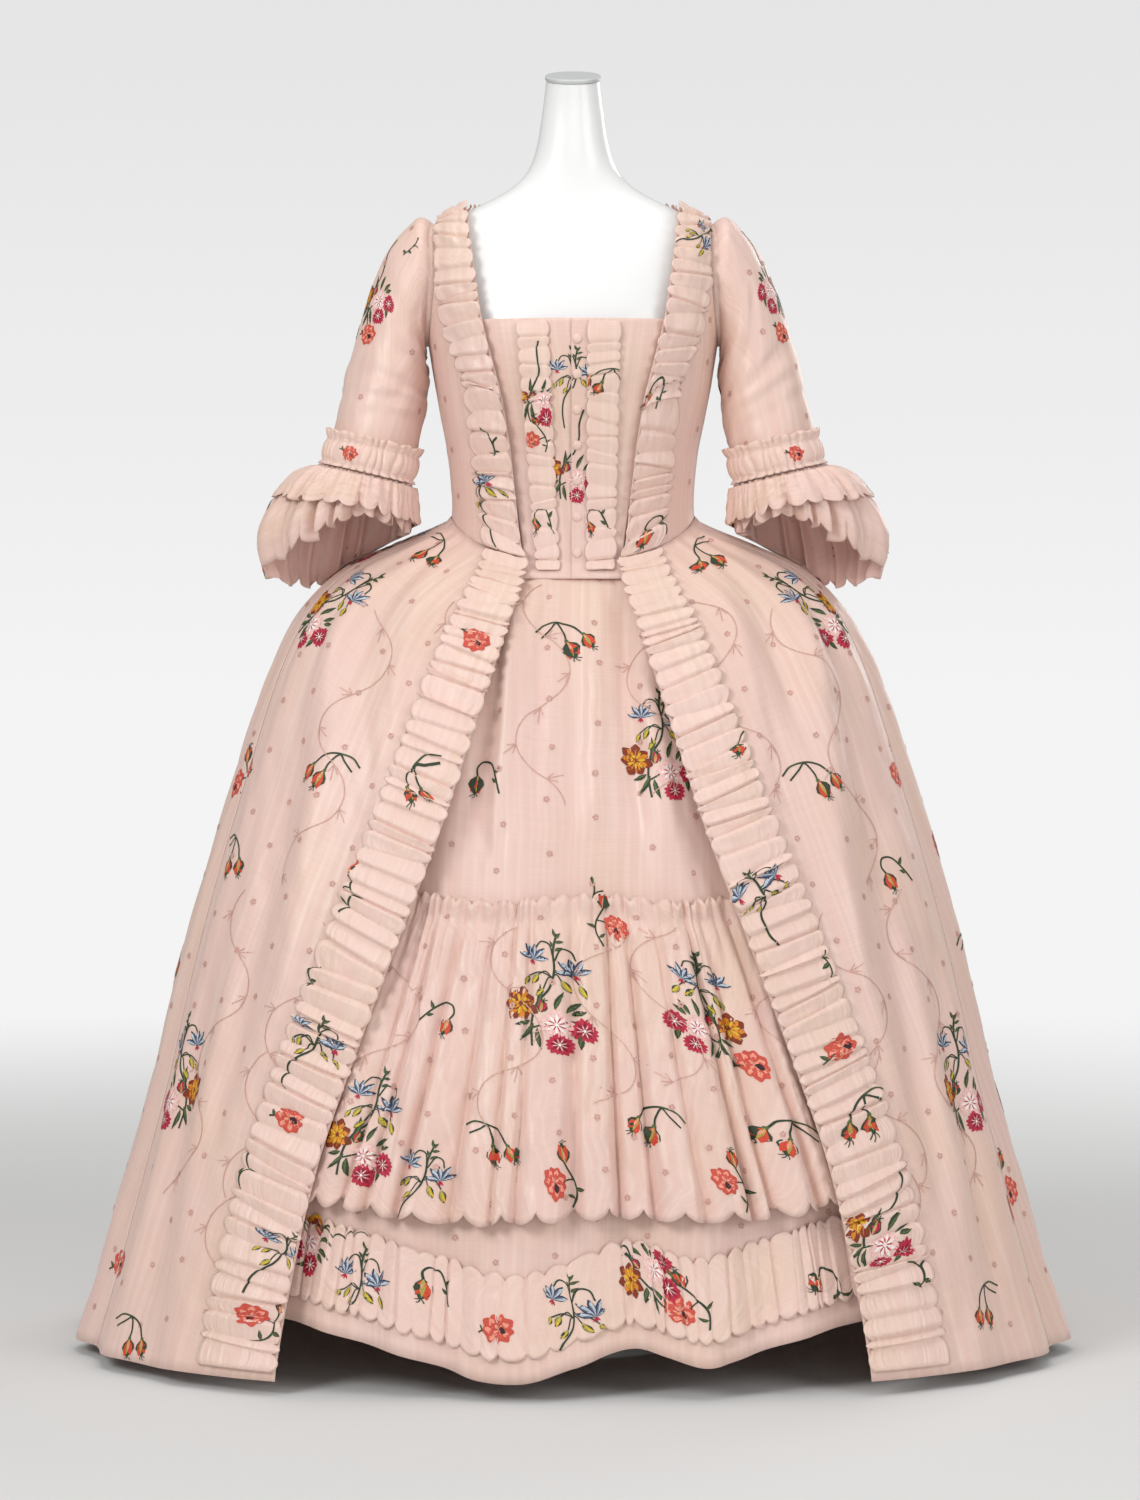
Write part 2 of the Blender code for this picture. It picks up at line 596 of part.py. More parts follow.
def narrow_trims(pleats=12):
    """The two narrow gathered trims on the buttoned front."""
    for name, (over, side, top, bottom) in NARROW.items():
        rows = []
        for k in range(2 * pleats + 1):
            v = mix(0.012, 0.975, k / (2 * pleats))
            z, crest = mix(NECK_FRONT_Z, POINT_Z, v), k % 2
            start = -0.002 if over else -0.018
            whole = FRONT_EDGE.at(z, "out") + FRONT_LAP - start
            row = []
            for across, pinch in ((0, 0.0012), (1, -0.0012)):
                x = mix(top[across], bottom[across], v) + (0 if crest else pinch)
                row.append(moved_out(lambda a, b: buttoned_front(a, b, over), (x - start) / whole, v,
                                     (0.0031 if over else 0.0051) + 0.0010 * crest))
            rows.append(row)
        cloth(f"narrow_trim_{name}", mirrored(rows, side))


def back_neck_trim(pleats=11):
    """The gathered trim round the back of the neck, from one shoulder seam to the other."""
    rows = []
    for k in range(2 * pleats + 1):
        angle = math.radians(mix(91.6, 268.4, k / (2 * pleats)))
        behind = min(1.0, max(0.0, -2.5 * math.cos(angle)))
        crest = k % 2
        row = []
        for z in (NAPE_Z - 0.002 + 0.003 * crest, NAPE_Z - 0.014 - 0.003 * crest - 0.014 * behind):
            point = on_form(angle, min(z, 1.2875), 0.0190 + 0.0016 * crest)
            side = SACK.at(z, "side")
            if abs(point.x) < side + 0.030:
                across = min(1.0, abs(point.x) / side)
                point.y = max(point.y, sack_point(across, 1.1, z).y + 0.0060 + 0.0016 * crest)
            point.z = z
            row.append(point)
        rows.append(row)
    cloth("back_neck_trim", rows)


# The sleeves.

def sleeve_ring(along):
    """The frame of a ring of the sleeve: centre, outward and downward directions."""
    turn = math.radians(SLEEVE.at(along, "turn"))
    centre = Vector((SLEEVE.at(along, "out"), SLEEVE.at(along, "back"), SLEEVE.at(along, "height")))
    return centre, Vector((math.sin(turn), 0, math.cos(turn))), Vector((math.cos(turn), 0, -math.sin(turn)))


def on_sleeve(along, angle, off=0.0, slide=0.0):
    """A point of the sleeve: angle 0 is the front, 90 the outside, 180 the back."""
    centre, out, down = sleeve_ring(along)
    high, deep = SLEEVE.at(along, "high") + off, SLEEVE.at(along, "deep") + off
    return centre + down * slide + out * high * math.sin(angle) + Vector((0, -deep * math.cos(angle), 0))


def sleeve_head(angle):
    """A point of the sleeve's first ring, which stands just outside the bodice's armhole."""
    y = -(ARMHOLE_DEEP - ARMHOLE_FIT) * math.cos(angle)
    z = ARMHOLE_Z + (ARMHOLE_HIGH - ARMHOLE_FIT) * math.sin(angle)
    wide, deep = FORM.at(z, "half_width") + BODICE_OFF, FORM.at(z, "front" if y < 0 else "back") + BODICE_OFF
    return Vector((wide * (1 - (abs(y) / deep) ** ROUNDNESS) ** (1 / ROUNDNESS) + 0.0044, y, z))


def sleeve(side, name):
    turns = [2 * math.pi * k / 16 for k in range(16)]
    rows = [[sleeve_head(t) for t in turns]]
    rows += [[on_sleeve(a, t) for t in turns] for a in (0.10, 0.22, 0.35, 0.52, 0.74, 1.0)]
    cloth(f"sleeve_{name}", mirrored(rows, side), around=True)


def cuff(side, name, gathers=12):
    """The gathered band round the sleeve's end."""
    rows = []
    for along, slide in ((0.90, 0.0), (1.0, 0.003)):
        rows.append([on_sleeve(along, math.pi * k / gathers, 0.0052 + 0.0012 * (k % 2), slide)
                     for k in range(2 * gathers)])
    cloth(f"cuff_{name}", mirrored(rows, side), around=True)


def clear_of_skirt(point, off):
    """The point, moved out to that far off the gown's skirt where it would sink into it."""
    if point.z > WAIST_Z:
        return point
    wide = SKIRT.at(point.z, "half_width") + off
    deep = SKIRT.at(point.z, "front" if point.y < 0 else "back") + off
    reach = ((abs(point.x) / wide) ** ROUNDNESS + (abs(point.y) / deep) ** ROUNDNESS) ** (1 / ROUNDNESS)
    if reach >= 1:
        return point
    return Vector((point.x / reach, point.y / reach, point.z))


def flounce_point(angle, s, tier, wave):
    """A flounce's point: s from its gathered top to its hem. It flares, then bends down as it falls."""
    degrees = (math.degrees(angle) + 180) % 360 - 180
    length = FLOUNCES.at(degrees, tier)
    upper = tier == "upper"
    lean = math.radians(FLOUNCES.at(degrees, f"{tier}_flare")) * (1 - (0.3 * s if upper else 0.6 * s ** 3))
    centre, out, down = sleeve_ring(1.0)
    base = on_sleeve(1.0, angle, 0.0095 if upper else 0.0030, 0.0065 if upper else 0.0040)
    radial = (out * math.sin(angle) - Vector((0, math.cos(angle), 0))).normalized()
    heading = down * math.cos(lean) + radial * math.sin(lean) + Vector((0, 0, -0.25 * s))
    point = base + heading.normalized() * length * s + radial * wave
    return clear_of_skirt(point, 0.020 if upper else 0.009)


def flounce(side, name, tier, folds=10):
    rows = []
    for s in (0.0, 0.55, 1.0):
        rows.append([flounce_point(math.pi * k / folds, s, tier, (0.0008 + 0.0034 * s) * (1 if k % 2 else -1))
                     for k in range(2 * folds)])
    cloth(f"flounce_{tier}_{name}", mirrored(rows, side), around=True)


def main():
    for old in list(bpy.data.objects):
        bpy.data.objects.remove(old)
    form()
    stand()
    fronts()
    buttons()
    narrow_trims()
    for side, name in ((1, "left"), (-1, "right")):
        bodice(side, name)
        skirts(side, name)
        trims(side, name)
        sleeve(side, name)
        cuff(side, name)
        flounce(side, name, "upper")
        flounce(side, name, "lower")
    sack_back()
    back_neck_trim()
    petticoat_panels()
    petticoat_flounce()
    hem_band()


main()
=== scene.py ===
"""The looks of a robe a la francaise on a limbless dress form: its figured silk taffeta, its gathered
trims and flounces, the form and a plain studio. Metres, +Z up, the front towards -Y.

Every piece of cloth is a grid of points, rows running down it and columns across it. The section
tables are those of the solids, so each sheet lies where its solid does, with finer folds."""

import logging
import math
from collections.abc import Callable, Iterable, Sequence
from dataclasses import dataclass, field
from enum import Enum

import bpy
import numpy as np
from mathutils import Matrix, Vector


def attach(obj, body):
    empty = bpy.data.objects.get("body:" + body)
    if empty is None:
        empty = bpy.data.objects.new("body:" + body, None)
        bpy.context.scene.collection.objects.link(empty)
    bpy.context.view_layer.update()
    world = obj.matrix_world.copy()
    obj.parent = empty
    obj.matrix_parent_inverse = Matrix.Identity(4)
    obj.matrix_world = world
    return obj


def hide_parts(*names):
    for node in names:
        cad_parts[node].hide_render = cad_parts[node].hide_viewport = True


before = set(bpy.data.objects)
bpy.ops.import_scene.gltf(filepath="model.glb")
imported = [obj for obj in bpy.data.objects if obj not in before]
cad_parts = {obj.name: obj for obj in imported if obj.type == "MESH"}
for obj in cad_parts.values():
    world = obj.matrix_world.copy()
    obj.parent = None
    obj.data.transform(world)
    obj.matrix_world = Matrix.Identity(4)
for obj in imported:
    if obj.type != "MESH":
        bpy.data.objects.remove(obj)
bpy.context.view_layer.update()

logging.basicConfig(level=logging.INFO, format="%(message)s")
log = logging.getLogger("gown")

Array = np.ndarray
Values = Array | float
Surface = Callable[[Array, Array], Array]

# Heights of the cut, and how far its layers lie off the form, as on the solids.

SILK_WALL = 0.0005       # thickness that shows at a cut edge of the silk
SEAM = 0.0011            # the gap left at a seam
WAIST_Z, WAIST_DIP, FLARE = 0.934, 0.050, 0.070
HEM_Z, FRONT_HEM_Z = 0.014, 0.016
NECK_FRONT_Z, POINT_Z = 1.153, 0.866
SHOULDER_Z, NAPE_Z = 1.2860, 1.290
ARMHOLE_Z, ARMHOLE_HIGH, ARMHOLE_DEEP, ARMHOLE_FIT = 1.197, 0.071, 0.056, 0.0020
SIDE_SEAM_SHARE, UNDERARM_EDGE_Z = 0.30, 1.060
PETTICOAT_TOP_Z, PETTICOAT_BACK_HEM_Z = 0.9305, 0.092
FLOUNCE_TOP_Z, FLOUNCE_HEM_Z = 0.522, 0.190
BAND_HEIGHT, BAND_ABOVE_HEM = 0.085, 0.026
ROUNDNESS = 2.25
PETTICOAT_OFF, UNDER_FRONT_OFF, OVER_FRONT_OFF, BODICE_OFF = 0.0037, 0.0070, 0.0093, 0.0132
FRONT_LAP, SACK_OFF, SACK_LAP = 0.0062, 0.0250, 0.0060
CAP_TILT = math.radians(14)


class Table:
    """Rows with named columns, the first of them the key; at() reads a smooth curve through them."""

    def __init__(self, columns: str, *rows: tuple[float, ...]) -> None:
        """Keeps the rows in the key's order."""
        self.columns = columns.split()
        self.rows = np.array(sorted(rows), dtype=float)

    def at(self, key: Values, column: str) -> Array:
        """Reads one column.

        Args:
            key: where to read, in the first column's unit.
            column: the name of the column.

        Returns:
            The values there; outside the rows, the nearest row's.
        """
        keys, values = self.rows[:, 0], self.rows[:, self.columns.index(column)]
        slopes = np.gradient(values, keys)
        slopes[1:-1] = (values[2:] - values[:-2]) / (keys[2:] - keys[:-2])
        key = np.clip(np.asarray(key, dtype=float), keys[0], keys[-1])
        i = np.clip(np.searchsorted(keys, key, side="right") - 1, 0, len(keys) - 2)
        span = keys[i + 1] - keys[i]
        t = (key - keys[i]) / span
        return ((2 * t ** 3 - 3 * t * t + 1) * values[i] + (t ** 3 - 2 * t * t + t) * span * slopes[i]
                + (3 * t * t - 2 * t ** 3) * values[i + 1] + (t ** 3 - t * t) * span * slopes[i + 1])


FORM = Table("height half_width front back shift",
    (0.800, 0.150, 0.110, 0.105, 0.000), (0.860, 0.140, 0.104, 0.098, 0.000),
    (0.936, 0.124, 0.098, 0.084, 0.000), (1.000, 0.127, 0.104, 0.088, 0.000),
    (1.050, 0.1365, 0.112, 0.093, 0.000), (1.100, 0.1455, 0.118, 0.096, 0.000),
    (1.150, 0.153, 0.115, 0.098, 0.000), (1.200, 0.159, 0.099, 0.096, 0.000),
    (1.240, 0.157, 0.080, 0.089, 0.000), (1.261, 0.145, 0.068, 0.082, 0.000),
    (1.276, 0.126, 0.059, 0.075, 0.000), (1.290, 0.098, 0.052, 0.067, 0.000),
    (1.305, 0.071, 0.048, 0.058, 0.000), (1.324, 0.052, 0.045, 0.051, 0.000),
    (1.350, 0.0415, 0.042, 0.046, -0.002), (1.394, 0.034, 0.036, 0.040, -0.008),
    (1.426, 0.030, 0.034, 0.036, -0.013))

SKIRT = Table("height half_width front back",
    (0.014, 0.555, 0.414, 0.545), (0.096, 0.530, 0.397, 0.520), (0.206, 0.499, 0.376, 0.484),
    (0.317, 0.469, 0.350, 0.442), (0.428, 0.443, 0.323, 0.396), (0.538, 0.413, 0.292, 0.345),
    (0.620, 0.388, 0.264, 0.306), (0.730, 0.353, 0.218, 0.250), (0.786, 0.331, 0.190, 0.218),
    (0.835, 0.303, 0.162, 0.184), (0.879, 0.257, 0.133, 0.150), (0.901, 0.212, 0.123, 0.131),
    (0.923, 0.163, 0.116, 0.112), (0.936, 0.1385, 0.113, 0.099))

PETTICOAT = Table("height half_width front back",
    (0.030, 0.518, 0.384, 0.506), (0.120, 0.493, 0.366, 0.482), (0.206, 0.470, 0.348, 0.454),
    (0.317, 0.441, 0.323, 0.412), (0.428, 0.416, 0.296, 0.368), (0.538, 0.387, 0.265, 0.318),
    (0.620, 0.362, 0.239, 0.280), (0.730, 0.327, 0.198, 0.226), (0.786, 0.305, 0.173, 0.194),
    (0.835, 0.279, 0.148, 0.163), (0.879, 0.235, 0.121, 0.132), (0.901, 0.192, 0.111, 0.117),
    (0.923, 0.147, 0.104, 0.101), (0.934, 0.128, 0.101, 0.088))

FRONT_EDGE = Table("height out trim",
    (0.022, 0.316, 0.098), (0.100, 0.303, 0.096), (0.240, 0.272, 0.092), (0.360, 0.231, 0.088),
    (0.480, 0.186, 0.084), (0.600, 0.141, 0.078), (0.730, 0.099, 0.070), (0.800, 0.076, 0.064),
    (0.884, 0.051, 0.050), (0.936, 0.055, 0.052), (1.000, 0.066, 0.054), (1.063, 0.078, 0.054),
    (1.110, 0.090, 0.054), (1.154, 0.101, 0.054), (1.220, 0.111, 0.052), (1.280, 0.119, 0.044))

SACK = Table("height out side",
    (0.014, 0.600, 0.325), (0.200, 0.527, 0.292), (0.400, 0.438, 0.250), (0.600, 0.345, 0.206),
    (0.800, 0.254, 0.152), (0.860, 0.227, 0.132), (0.900, 0.209, 0.115), (0.934, 0.194, 0.107),
    (1.000, 0.169, 0.108), (1.100, 0.139, 0.116), (1.200, 0.116, 0.121), (1.250, 0.102, 0.118),
    (1.290, 0.086, 0.105))

PLEATS = Table("across relief", (0.00, 0.0), (0.06, 1.0), (0.40, 1.15), (0.74, 1.0), (0.78, 0.45),
               (0.90, 0.25), (1.00, 0.0))

SLEEVE = Table("along out height turn high deep back",
    (0.10, 0.1722, 1.1945, 5.0, 0.0760, 0.058, 0.000),
    (0.22, 0.1860, 1.1735, 17.0, 0.0690, 0.058, -0.001),
    (0.34, 0.1925, 1.1490, 30.0, 0.0611, 0.057, -0.003),
    (0.50, 0.2030, 1.1100, 52.0, 0.0505, 0.055, -0.007),
    (0.64, 0.2095, 1.0800, 66.0, 0.0485, 0.053, -0.012),
    (0.80, 0.2175, 1.0470, 75.0, 0.0485, 0.051, -0.018),
    (0.90, 0.2235, 1.0190, 77.0, 0.0485, 0.050, -0.023),
    (1.00, 0.2315, 0.9870, 77.0, 0.0480, 0.050, -0.028))

FLOUNCES = Table("angle upper upper_flare lower lower_flare",
    (-180, 0.058, 40, 0.122, 10), (-120, 0.045, 24, 0.080, 4), (-90, 0.040, 18, 0.056, 2),
    (-30, 0.036, 24, 0.046, 8), (0, 0.036, 36, 0.048, 16), (45, 0.046, 54, 0.085, 28),
    (90, 0.056, 72, 0.134, 46), (135, 0.060, 60, 0.140, 32), (180, 0.058, 40, 0.122, 10))

FOLDS = Table("angle rise hem",
    (-92, 0.000, 0.092), (-77, 0.000, 0.091), (-62, 0.000, 0.090), (-46, 0.000, 0.087),
    (-39, 0.003, 0.080), (-33, -0.003, 0.073), (-28, 0.005, 0.065), (-23, -0.004, 0.055),
    (-18, 0.002, 0.044), (-13, -0.005, 0.033), (-8.5, 0.008, 0.021), (-4, 0.012, 0.020),
    (0, 0.002, 0.034), (3, -0.008, 0.047), (6, -0.010, 0.053), (9, 0.000, 0.045), (13, 0.010, 0.034),
    (17, 0.002, 0.040), (21, -0.006, 0.049), (26, 0.005, 0.060), (31, -0.003, 0.068), (37, 0.003, 0.076),
    (45, 0.000, 0.086), (62, 0.000, 0.090), (77, 0.000, 0.091), (92, 0.000, 0.092))


# Shapes of the form and the layers over it. Angles are in radians: 0 is the front, a quarter turn the side.

def mix(a: Values, b: Values, t: Values) -> Array:
    """The value t of the way from a to b."""
    return a + (b - a) * t


def place(x: Array, y: Array, z: Array) -> Array:
    """Points from their coordinates, which broadcast together."""
    return np.stack(np.broadcast_arrays(x, y, z), axis=-1).astype(float)


def unit(vectors: Array) -> Array:
    """The vectors at length 1."""
    return vectors / np.maximum(np.linalg.norm(vectors, axis=-1, keepdims=True), 1e-12)


def steps_down(count: int) -> Array:
    """Even steps from 0 to 1 down a grid's rows."""
    return np.linspace(0, 1, count)[:, None]


def steps_across(count: int) -> Array:
    """Even steps from 0 to 1 along a grid's columns."""
    return np.linspace(0, 1, count)[None, :]


def once_round(count: int) -> Array:
    """Even angles once round, along a grid's columns."""
    return np.linspace(0, 2 * math.pi, count, endpoint=False)[None, :]


def run_length(points: Array, axis: int) -> Array:
    """How far each point lies from the first one along an axis of a grid."""
    steps = np.linalg.norm(np.diff(points, axis=axis), axis=-1)
    start = [(1, 0) if k == axis else (0, 0) for k in range(steps.ndim)]
    return np.pad(np.cumsum(steps, axis=axis), start)


def fade(value: Array, low: float, high: float) -> Array:
    """A smooth step from 0 at low to 1 at high."""
    t = np.clip((value - low) / (high - low), 0.0, 1.0)
    return t * t * (3 - 2 * t)


def ring(half_width: Array, front: Array, back: Array, angle: Array, z: Array) -> Array:
    """Points of a level's outline."""
    across, ahead = np.sin(angle), np.cos(angle)
    x = half_width * np.sign(across) * np.abs(across) ** (2 / ROUNDNESS)
    y = -np.where(ahead > 0, front, back) * np.sign(ahead) * np.abs(ahead) ** (2 / ROUNDNESS)
    return place(x, y, z)


def on_form(angle: Array, z: Array, off: Values) -> Array:
    """Points that far off the form."""
    made = ring(*(FORM.at(z, c) + off for c in ("half_width", "front", "back")), angle, z)
    made[..., 1] += FORM.at(z, "shift")
    return made


def waist_height(angle: Array) -> Array:
    """The waist seam, which dips towards the middle of the front."""
    return WAIST_Z - WAIST_DIP * np.maximum(0.0, np.cos(angle)) ** 1.5


def flared(table: Table, angle: Array, z: Array, waist_off: float, off: Values = 0.0) -> Array:
    """A skirt's points: it follows the form down to the waist seam, and flares below it to its table."""
    angle, z, off = np.broadcast_arrays(angle, z, off)
    waist = waist_height(angle)

    def outline(level: Array) -> Array:
        return ring(*(table.at(level, c) + off for c in ("half_width", "front", "back")), angle, level)

    near = np.maximum(0.0, 1 - (waist - z) / FLARE)[..., None] ** 2
    below = outline(z) + (on_form(angle, waist, waist_off + off) - outline(waist)) * near
    return np.where((z >= waist)[..., None], on_form(angle, z, waist_off + off), below)


def angle_where(surface: Callable[[Array], Array], x: Array) -> Array:
    """The angle between the front and the side at which surface(angle) is that far out."""
    low = np.zeros(np.shape(x))
    high = low + math.pi / 2
    for _ in range(24):
        middle = (low + high) / 2
        short = surface(middle)[..., 0] < x
        low, high = np.where(short, middle, low), np.where(short, high, middle)
    return low


def armhole(along: Array, face: int) -> tuple[Array, Array]:
    """The bodice's side: the side seam, then the armhole's front (face -1) or back (face 1) half."""
    share = np.maximum(0.0, (along - SIDE_SEAM_SHARE) / (1 - SIDE_SEAM_SHARE))
    turn = np.radians(mix(-90, 90, share))
    z = ARMHOLE_Z + ARMHOLE_HIGH * np.sin(turn)
    z = np.where(along < SIDE_SEAM_SHARE, mix(WAIST_Z, z, along / SIDE_SEAM_SHARE), z)
    y = ARMHOLE_DEEP * np.maximum(0.0, np.cos(turn))
    deep = FORM.at(z, "front" if face < 0 else "back") + BODICE_OFF
    lean = np.arcsin(np.minimum(1.0, y / deep) ** (ROUNDNESS / 2)) + math.radians(0.3)
    return math.pi / 2 + face * lean, z


def inner_height(along: Array, low: float, high: float) -> Array:
    """How high a row of the bodice is at the edge away from the armhole."""
    upper = np.maximum(0.0, (along - SIDE_SEAM_SHARE) / (1 - SIDE_SEAM_SHARE)) ** 0.7
    return np.where(along < SIDE_SEAM_SHARE, mix(low, UNDERARM_EDGE_Z, along / SIDE_SEAM_SHARE),
                    mix(UNDERARM_EDGE_Z, high, upper))


def bodice_front(u: Array, v: Array) -> Array:
    """The bodice's front: u from its front edge to the side seam and armhole, v from shoulder to waist."""
    u, v = np.broadcast_arrays(u, v)
    along = 1 - v
    z_edge = inner_height(along, WAIST_Z - WAIST_DIP * 0.93, SHOULDER_Z)
    end, z_side = armhole(along, -1)
    start = angle_where(lambda a: on_form(a, z_edge, BODICE_OFF), FRONT_EDGE.at(z_edge, "out"))
    angle = mix(np.minimum(end, start), end, u)
    z = mix(z_edge, z_side, u ** 0.8)
    droop = np.maximum(0.0, 1 - along / SIDE_SEAM_SHARE)
    return on_form(angle, mix(z, waist_height(angle), droop), BODICE_OFF)


def bodice_back(u: Array, v: Array) -> Array:
    """The bodice's side back: u from the armhole and side seam to just under the sack, v downwards."""
    u, v = np.broadcast_arrays(u, v)
    along = 1 - v
    z_inner = inner_height(along, WAIST_Z, SHOULDER_Z - 0.002)
    start, z_side = armhole(along, 1)
    end = math.pi - angle_where(lambda a: on_form(a, z_inner, BODICE_OFF), SACK.at(z_inner, "side") - 0.030)
    return on_form(mix(start, end, u), mix(z_side, z_inner, u), BODICE_OFF)


def buttoned_front(x: Array, z: Array, off: float) -> Array:
    """The buttoned front that far out from the middle, on a layer that far off the form and petticoat."""
    def surface(angle: Array) -> Array:
        return flared(PETTICOAT, angle, z, PETTICOAT_OFF, off - PETTICOAT_OFF)
    x, z = np.broadcast_arrays(x, z)
    return place(x, surface(angle_where(surface, np.abs(x)))[..., 1], z)


def gown_skirt(angle: Array, z: Array, off: Values = 0.0) -> Array:
    """The gown's skirt, with the side pleats' soft folds: shallow at the waist, deeper further down."""
    reach = np.exp(-((np.degrees(angle) - 96) / 30) ** 2)
    drop = np.maximum(0.0, (WAIST_Z - z) / WAIST_Z)
    return flared(SKIRT, angle, z, BODICE_OFF, off + 0.012 * reach * drop ** 0.7 * np.cos(angle * 22))


# The angles of the skirt's front edge, of its side seam and of its edge under the sack.

LEVELS = np.linspace(HEM_Z, WAIST_Z, 120)
EDGE_LINE = angle_where(lambda a: gown_skirt(a, LEVELS), FRONT_EDGE.at(LEVELS, "out"))
SACK_LINE = math.pi - angle_where(lambda a: gown_skirt(math.pi - a, LEVELS), SACK.at(LEVELS, "side") - 0.012)
SIDE_ANGLE = math.radians(74)


def robe_skirt(start: Callable[[Array], Array], end: Callable[[Array], Array], u: Array, v: Array) -> Array:
    """The gown's skirt between two lines of angle(z): v runs from the waist seam to the hem."""
    u, v = np.broadcast_arrays(u, v)

    def height(angle: Array) -> Array:
        hem = HEM_Z + (FRONT_HEM_Z - HEM_Z) * np.maximum(0.0, np.cos(angle))
        return mix(waist_height(angle) - SEAM, hem, v)

    level = mix(WAIST_Z, HEM_Z, v)
    for _ in range(4):
        angle = mix(start(level), end(level), u)
        level = height(angle)
    return gown_skirt(angle, height(angle))


def skirt_front(u: Array, v: Array) -> Array:
    """The gown's front skirt, from its front edge to its side seam."""
    return robe_skirt(lambda z: np.interp(z, LEVELS, EDGE_LINE),
                      lambda z: np.full(np.shape(z), SIDE_ANGLE), u, v)


def skirt_side(u: Array, v: Array) -> Array:
    """The gown's side skirt, from just behind its side seam to just under the sack."""
    return robe_skirt(lambda z: SIDE_ANGLE + SEAM * 1.6 / SKIRT.at(z, "half_width"),
                      lambda z: np.interp(z, LEVELS, SACK_LINE), u, v)


def sack_point(across: Array, relief: Array, z: Array) -> Array:
    """The sack back: across from -1 to 1 between its sides, relief in pleats."""
    side, out = SACK.at(z, "side"), SACK.at(z, "out")
    body = z > WAIST_Z
    wide = np.where(body, FORM.at(z, "half_width") + SACK_OFF, SKIRT.at(z, "half_width") + SACK_LAP)
    deep = np.where(body, FORM.at(z, "back") + SACK_OFF, SKIRT.at(z, "back") + SACK_LAP)
    edge = deep * np.maximum(0.0, 1 - np.minimum(side / wide, 1.0) ** ROUNDNESS) ** (1 / ROUNDNESS)
    depth = 0.009 + 0.020 * (NAPE_Z - z) / NAPE_Z
    return place(side * across, edge + (out - edge) * (1 - np.abs(across) ** 2.4) + depth * relief, z)


def petticoat(angle: Array, z: Array, off: Values = 0.0) -> Array:
    """The petticoat, with the folds of its table."""
    drop = np.maximum(0.0, (WAIST_Z - z) / WAIST_Z)
    return flared(PETTICOAT, angle, z, PETTICOAT_OFF, FOLDS.at(np.degrees(angle), "rise") * drop + off)


def sleeve_frame(along: Array) -> tuple[Array, Array, Array]:
    """The rings of the sleeve: their centres, and their outward and downward directions."""
    turn = np.radians(SLEEVE.at(along, "turn"))
    centre = place(SLEEVE.at(along, "out"), SLEEVE.at(along, "back"), SLEEVE.at(along, "height"))
    return centre, place(np.sin(turn), 0, np.cos(turn)), place(np.cos(turn), 0, -np.sin(turn))


def on_sleeve(along: Array, angle: Array, off: Values = 0.0, slide: Values = 0.0) -> Array:
    """Points of the sleeve: angle 0 is the front, a quarter turn the outside, half a turn the back."""
    along, angle, off, slide = np.broadcast_arrays(along, angle, off, slide)
    centre, out, down = sleeve_frame(along)
    high, deep = SLEEVE.at(along, "high") + off, SLEEVE.at(along, "deep") + off
    return (centre + down * slide[..., None] + out * (high * np.sin(angle))[..., None]
            + place(0, -deep * np.cos(angle), 0))


def sleeve_head(angle: Array) -> Array:
    """The sleeve's first ring, just outside the bodice's armhole."""
    y = -(ARMHOLE_DEEP - ARMHOLE_FIT) * np.cos(angle)
    z = ARMHOLE_Z + (ARMHOLE_HIGH - ARMHOLE_FIT) * np.sin(angle)
    wide = FORM.at(z, "half_width") + BODICE_OFF
    deep = np.where(y < 0, FORM.at(z, "front"), FORM.at(z, "back")) + BODICE_OFF
    return place(wide * (1 - (np.abs(y) / deep) ** ROUNDNESS) ** (1 / ROUNDNESS) + 0.0044, y, z)


def clear_of_skirt(points: Array, off: float) -> Array:
    """The points, moved out to that far off the gown's skirt where they would sink into it."""
    x, y, z = points[..., 0], points[..., 1], points[..., 2]
    wide = SKIRT.at(z, "half_width") + off
    deep = np.where(y < 0, SKIRT.at(z, "front"), SKIRT.at(z, "back")) + off
    reach = ((np.abs(x) / wide) ** ROUNDNESS + (np.abs(y) / deep) ** ROUNDNESS) ** (1 / ROUNDNESS)
    reach = np.where((z > WAIST_Z) | (reach >= 1), 1.0, np.maximum(reach, 0.2))
    return place(x / reach, y / reach, z)


# Finishes.

def linear(code: str) -> tuple[float, float, float, float]:
    """An sRGB hex value as linear red, green, blue and 1."""
    parts = [int(code[i:i + 2], 16) / 255 for i in (1, 3, 5)]
    return (*(p / 12.92 if p <= 0.04045 else ((p + 0.055) / 1.055) ** 2.4 for p in parts), 1.0)


def wire(tree: bpy.types.NodeTree, to: bpy.types.Node, **links: object) -> bpy.types.Node:
    """Gives a node's inputs a socket or a value each, by name with _ for spaces, or as i0, i1 by number."""
    for name, value in links.items():
        socket = to.inputs[int(name[1:]) if name[1:].isdigit() else name.replace("_", " ")]
        if isinstance(value, bpy.types.NodeSocket):
            tree.links.new(value, socket)
        else:
            socket.default_value = value
    return to


def node(tree: bpy.types.NodeTree, kind: str, settings: dict | None = None,
         **links: object) -> bpy.types.Node:
    """Adds a node of that class, with its properties by name and its inputs as wire() takes them."""
    made = tree.nodes.new(kind)
    for name, value in (settings or {}).items():
        setattr(made, name, value)
    return wire(tree, made, **links)


def fresh(name: str) -> tuple[bpy.types.Material, bpy.types.NodeTree, bpy.types.Node]:
    """A new material, its node tree and its shader."""
    made = bpy.data.materials.new(name)
    made.use_nodes = True
    return made, made.node_tree, made.node_tree.nodes["Principled BSDF"]


